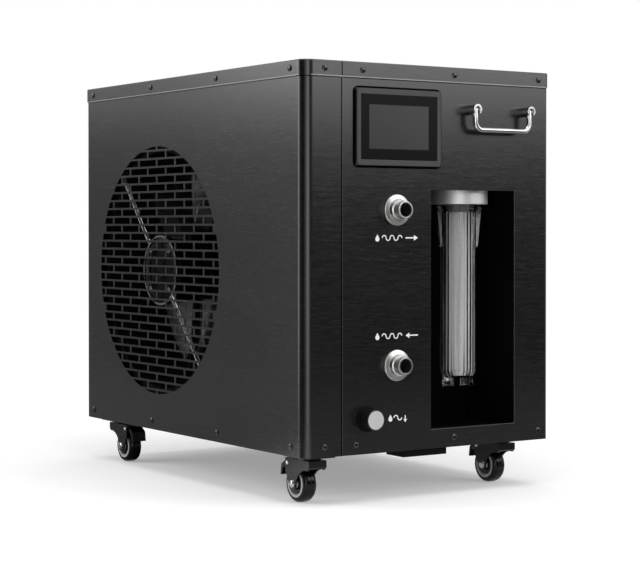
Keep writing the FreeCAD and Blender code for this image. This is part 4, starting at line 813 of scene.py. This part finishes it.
SOCKET = middle_of("power_inlet") / MM
SOCKET_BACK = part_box("power_inlet")[1].y / MM
PINS = (("left", -4.4, -2.2), ("right", 4.4, -2.2), ("earth", 0.0, 3.0))
PIN_SIZE = (2.2, 10, 4.2)
PIN_DEPTH = 11.0

for name, across, up in PINS:
    place = (SOCKET.x + across, SOCKET_BACK - PIN_DEPTH, SOCKET.z + up)
    pin = slab("socket_pin_" + name, *PIN_SIZE, place)
    use(pin, "BEVEL", width=0.5 * MM, segments=3, limit_method="ANGLE")
    dress(pin, stainless, "cabinet")


# Casters: crowned tyre, guard discs, axle bolt with a domed head and a nut, pedal rivets

TYRE = [(18.5, -10), (20.4, -10), (21.6, -9.75), (23.0, -8.9), (24.2, -7.2), (24.85, -4.8), (25, -2),
        (25, -0.3), (24.85, 0), (25, 0.3), (25, 2), (24.85, 4.8), (24.2, 7.2), (23.0, 8.9), (21.6, 9.75),
        (20.4, 10), (18.5, 10), (18.5, -10)]
BOLT = [(2.0, -17), (3.6, -16.75), (4.6, -16.1), (5.0, -15.2), (5.0, -14.8), (5.5, -14.7), (5.5, -14),
        (3, -14), (3, 14), (5.5, 14), (5.5, 14.7), (3.2, 14.7), (3.2, 17)]
GUARD = [(7.4, 7.0), (13.9, 7.0), (13.9, 8.6), (13.2, 9.2), (7.4, 9.8), (7.4, 7.0)]
NUT = [(3.25, 14.7), (4.9, 14.7), (5.2, 15), (5.2, 16.2), (4.8, 16.6), (3.25, 16.6), (3.25, 14.7)]
RIVET = [(2.9, 13.8), (3.0, 14.4), (2.6, 15.1), (1.6, 15.6), (0.6, 15.8)]
SIDES = (("left", "-X"), ("right", "X"))
JOINTS = {joint["name"]: joint for joint in frame["record"]["behaviour"]["joints"]}

for corner in CASTERS:
    caster = corner + "_caster_"
    wheel = corner + "_wheel"
    fork = corner + "_fork"
    axle = middle_of(caster + "axle") / MM
    pivot = Vector(JOINTS[corner + "_brake"]["pos_m"]) / MM
    tyre = turned(corner + "_tyre", TYRE, axle, "X", 72, True)
    dress(tyre, tyre_rubber, wheel, caster + "tyre", sharp=40)
    for side, axis in SIDES:
        dress(turned("%s_guard_%s" % (corner, side), GUARD, axle, axis, 56, True), caster_coat, wheel)
    dress(turned(corner + "_bolt", BOLT, axle, "X", 40), chrome, fork, caster + "axle")
    dress(turned(corner + "_nut", NUT, axle, "X", 6, True), chrome, fork, sharp=20)
    for side, axis in SIDES:
        dress(turned("%s_rivet_%s" % (corner, side), RIVET, pivot, axis, 24), chrome, fork)


# Stage: a pale floor that keeps the shadow near the object, and a white studio

SHADOW_FADES, WHITE_BEYOND = 0.62, 1.35


def floor_finish():
    finish = Finish("pale_floor")
    seen = finish.seen()
    flat_place = finish.where((1.0, 1.0, 0.0))
    distance = finish.node("ShaderNodeVectorMath", {"operation": "LENGTH"}, {0: flat_place}, "Value")
    far = finish.step(distance, SHADOW_FADES, WHITE_BEYOND)
    paper = finish.node("ShaderNodeBsdfDiffuse", None, {"Color": grey(0.8)})
    near = finish.node("ShaderNodeAddShader", None, {0: paper, 1: finish.glow(0.3 * seen)})
    white = finish.glow(1.0)
    return finish.show(finish.node("ShaderNodeMixShader", None, {0: far * seen, 1: near, 2: white}))


def studio_world():
    """White where the camera or a mirror looks, dimmer where it lights."""
    world = Finish("studio", world=True)
    level = world.node("ShaderNodeMapRange", None, {"Value": world.seen(), "To Min": 0.35, "To Max": 1.0})
    sky = world.node("ShaderNodeBackground", None, {"Color": grey(1.0), "Strength": level})
    world.node("ShaderNodeOutputWorld", None, {"Surface": sky})
    return world.owner


bpy.ops.object.select_all(action="DESELECT")
bpy.ops.mesh.primitive_plane_add(size=50.0, location=(0, 0, 0))
floor = bpy.context.object
floor.name = "floor"
floor.data.materials.append(floor_finish())
bpy.context.scene.world = studio_world()


# Lamps and cards, set out round the cabinet's front left corner

CORNER_X, CORNER_Y = -0.2, -0.3
CARD_ABOVE_FLOOR = 0.004


def around(bearing, distance, height):
    """A point seen from the corner, its bearing counted from +X to +Y."""
    angle = math.radians(bearing)
    return (CORNER_X + distance * math.cos(angle), CORNER_Y + distance * math.sin(angle), height)


def at_corner(height):
    return (CORNER_X, CORNER_Y, height)


def facing(place, aim, axis="Z"):
    return (Vector(aim) - Vector(place)).to_track_quat(axis, "Y").to_euler()


def softbox(name, place, aim, width, height, radiance):
    """A rectangular lamp; its power follows from how bright its face is."""
    lamp = bpy.data.lights.new(name, "AREA")
    lamp.shape = "RECTANGLE"
    lamp.size = width
    lamp.size_y = height
    lamp.energy = radiance * math.pi * width * height
    box = bpy.data.objects.new(name, lamp)
    box.location = place
    box.rotation_euler = facing(place, aim, "-Z")
    bpy.context.scene.collection.objects.link(box)


def card(name, place, turn, width, height, cloth):
    """A card beside the lamps, as a studio uses to shape what a glossy face mirrors."""
    bpy.ops.object.select_all(action="DESELECT")
    bpy.ops.mesh.primitive_plane_add(size=1.0)
    made = bpy.context.object
    made.name = name
    made.scale = (width, height, 1.0)
    made.location = place
    made.rotation_euler = turn
    made.data.materials.append(cloth)
    made.visible_camera = False
    made.visible_diffuse = False
    made.visible_transmission = False
    made.visible_shadow = False


def flag(name, bearing, distance, height, width, tall, cloth):
    """A card that stands at a bearing and faces the corner."""
    place = around(bearing, distance, height)
    card(name, place, facing(place, at_corner(height)), width, tall, cloth)


def floor_card(name, bearing, near, far, width, cloth):
    """A card laid on the floor along a bearing, from near to far."""
    middle = around(bearing, (near + far) / 2, CARD_ABOVE_FLOOR)
    card(name, middle, (0.0, 0.0, math.radians(bearing)), far - near, width, cloth)


def lit_panel(name, radiance):
    finish = Finish(name)
    return finish.show(finish.glow(radiance))


black_cloth = speckled("black_cloth", grey(0.002), grey(0.003), 0.95, 400.0, 0.2, 0.05)
grey_cloth = speckled("grey_cloth", grey(0.3), grey(0.34), 0.95, 400.0, 0.2, 0.05)
softbox("overhead", (0.1, -0.3, 2.4), (0.0, 0.0, 0.0), 2.4, 2.4, 2.3)
softbox("key", (1.35, -2.1, 1.3), (0.2, -0.3, 1.0), 1.6, 1.2, 3.6)
softbox("side", around(136, 2.5, 1.4), (-0.2, 0.0, 1.1), 1.7, 1.25, 3.5)
softbox("edge_strip", around(140, 2.0, 0.5), at_corner(0.5), 0.34, 1.0, 3.5)
softbox("camera_fill", around(243, 3.2, 0.75), at_corner(0.5), 1.0, 1.5, 2.6)
flag("flag_front_right", 304, 2.0, 0.3, 1.7, 0.7, black_cloth)
flag("flag_front", 272, 2.2, 0.75, 0.62, 1.7, black_cloth)
flag("flag_left", 186, 2.2, 0.9, 2.3, 2.2, black_cloth)
flag("flag_back_left", 114, 2.3, 0.3, 1.5, 0.7, grey_cloth)
floor_card("floor_front_near", 304, 0.25, 1.5, 1.7, grey_cloth)
floor_card("floor_front_right", 304, 1.5, 2.1, 1.7, black_cloth)
floor_card("floor_front", 272, 0.3, 2.2, 0.62, black_cloth)
floor_card("floor_left", 188, 0.3, 2.2, 2.0, black_cloth)
floor_card("floor_back_left", 112, 0.3, 2.3, 1.2, grey_cloth)
floor_card("floor_edge_strip", 140, 0.25, 2.0, 0.28, lit_panel("low_strip", 3.5))
floor_card("floor_camera_fill", 243, 0.25, 3.0, 0.5, lit_panel("low_fill", 2.6))
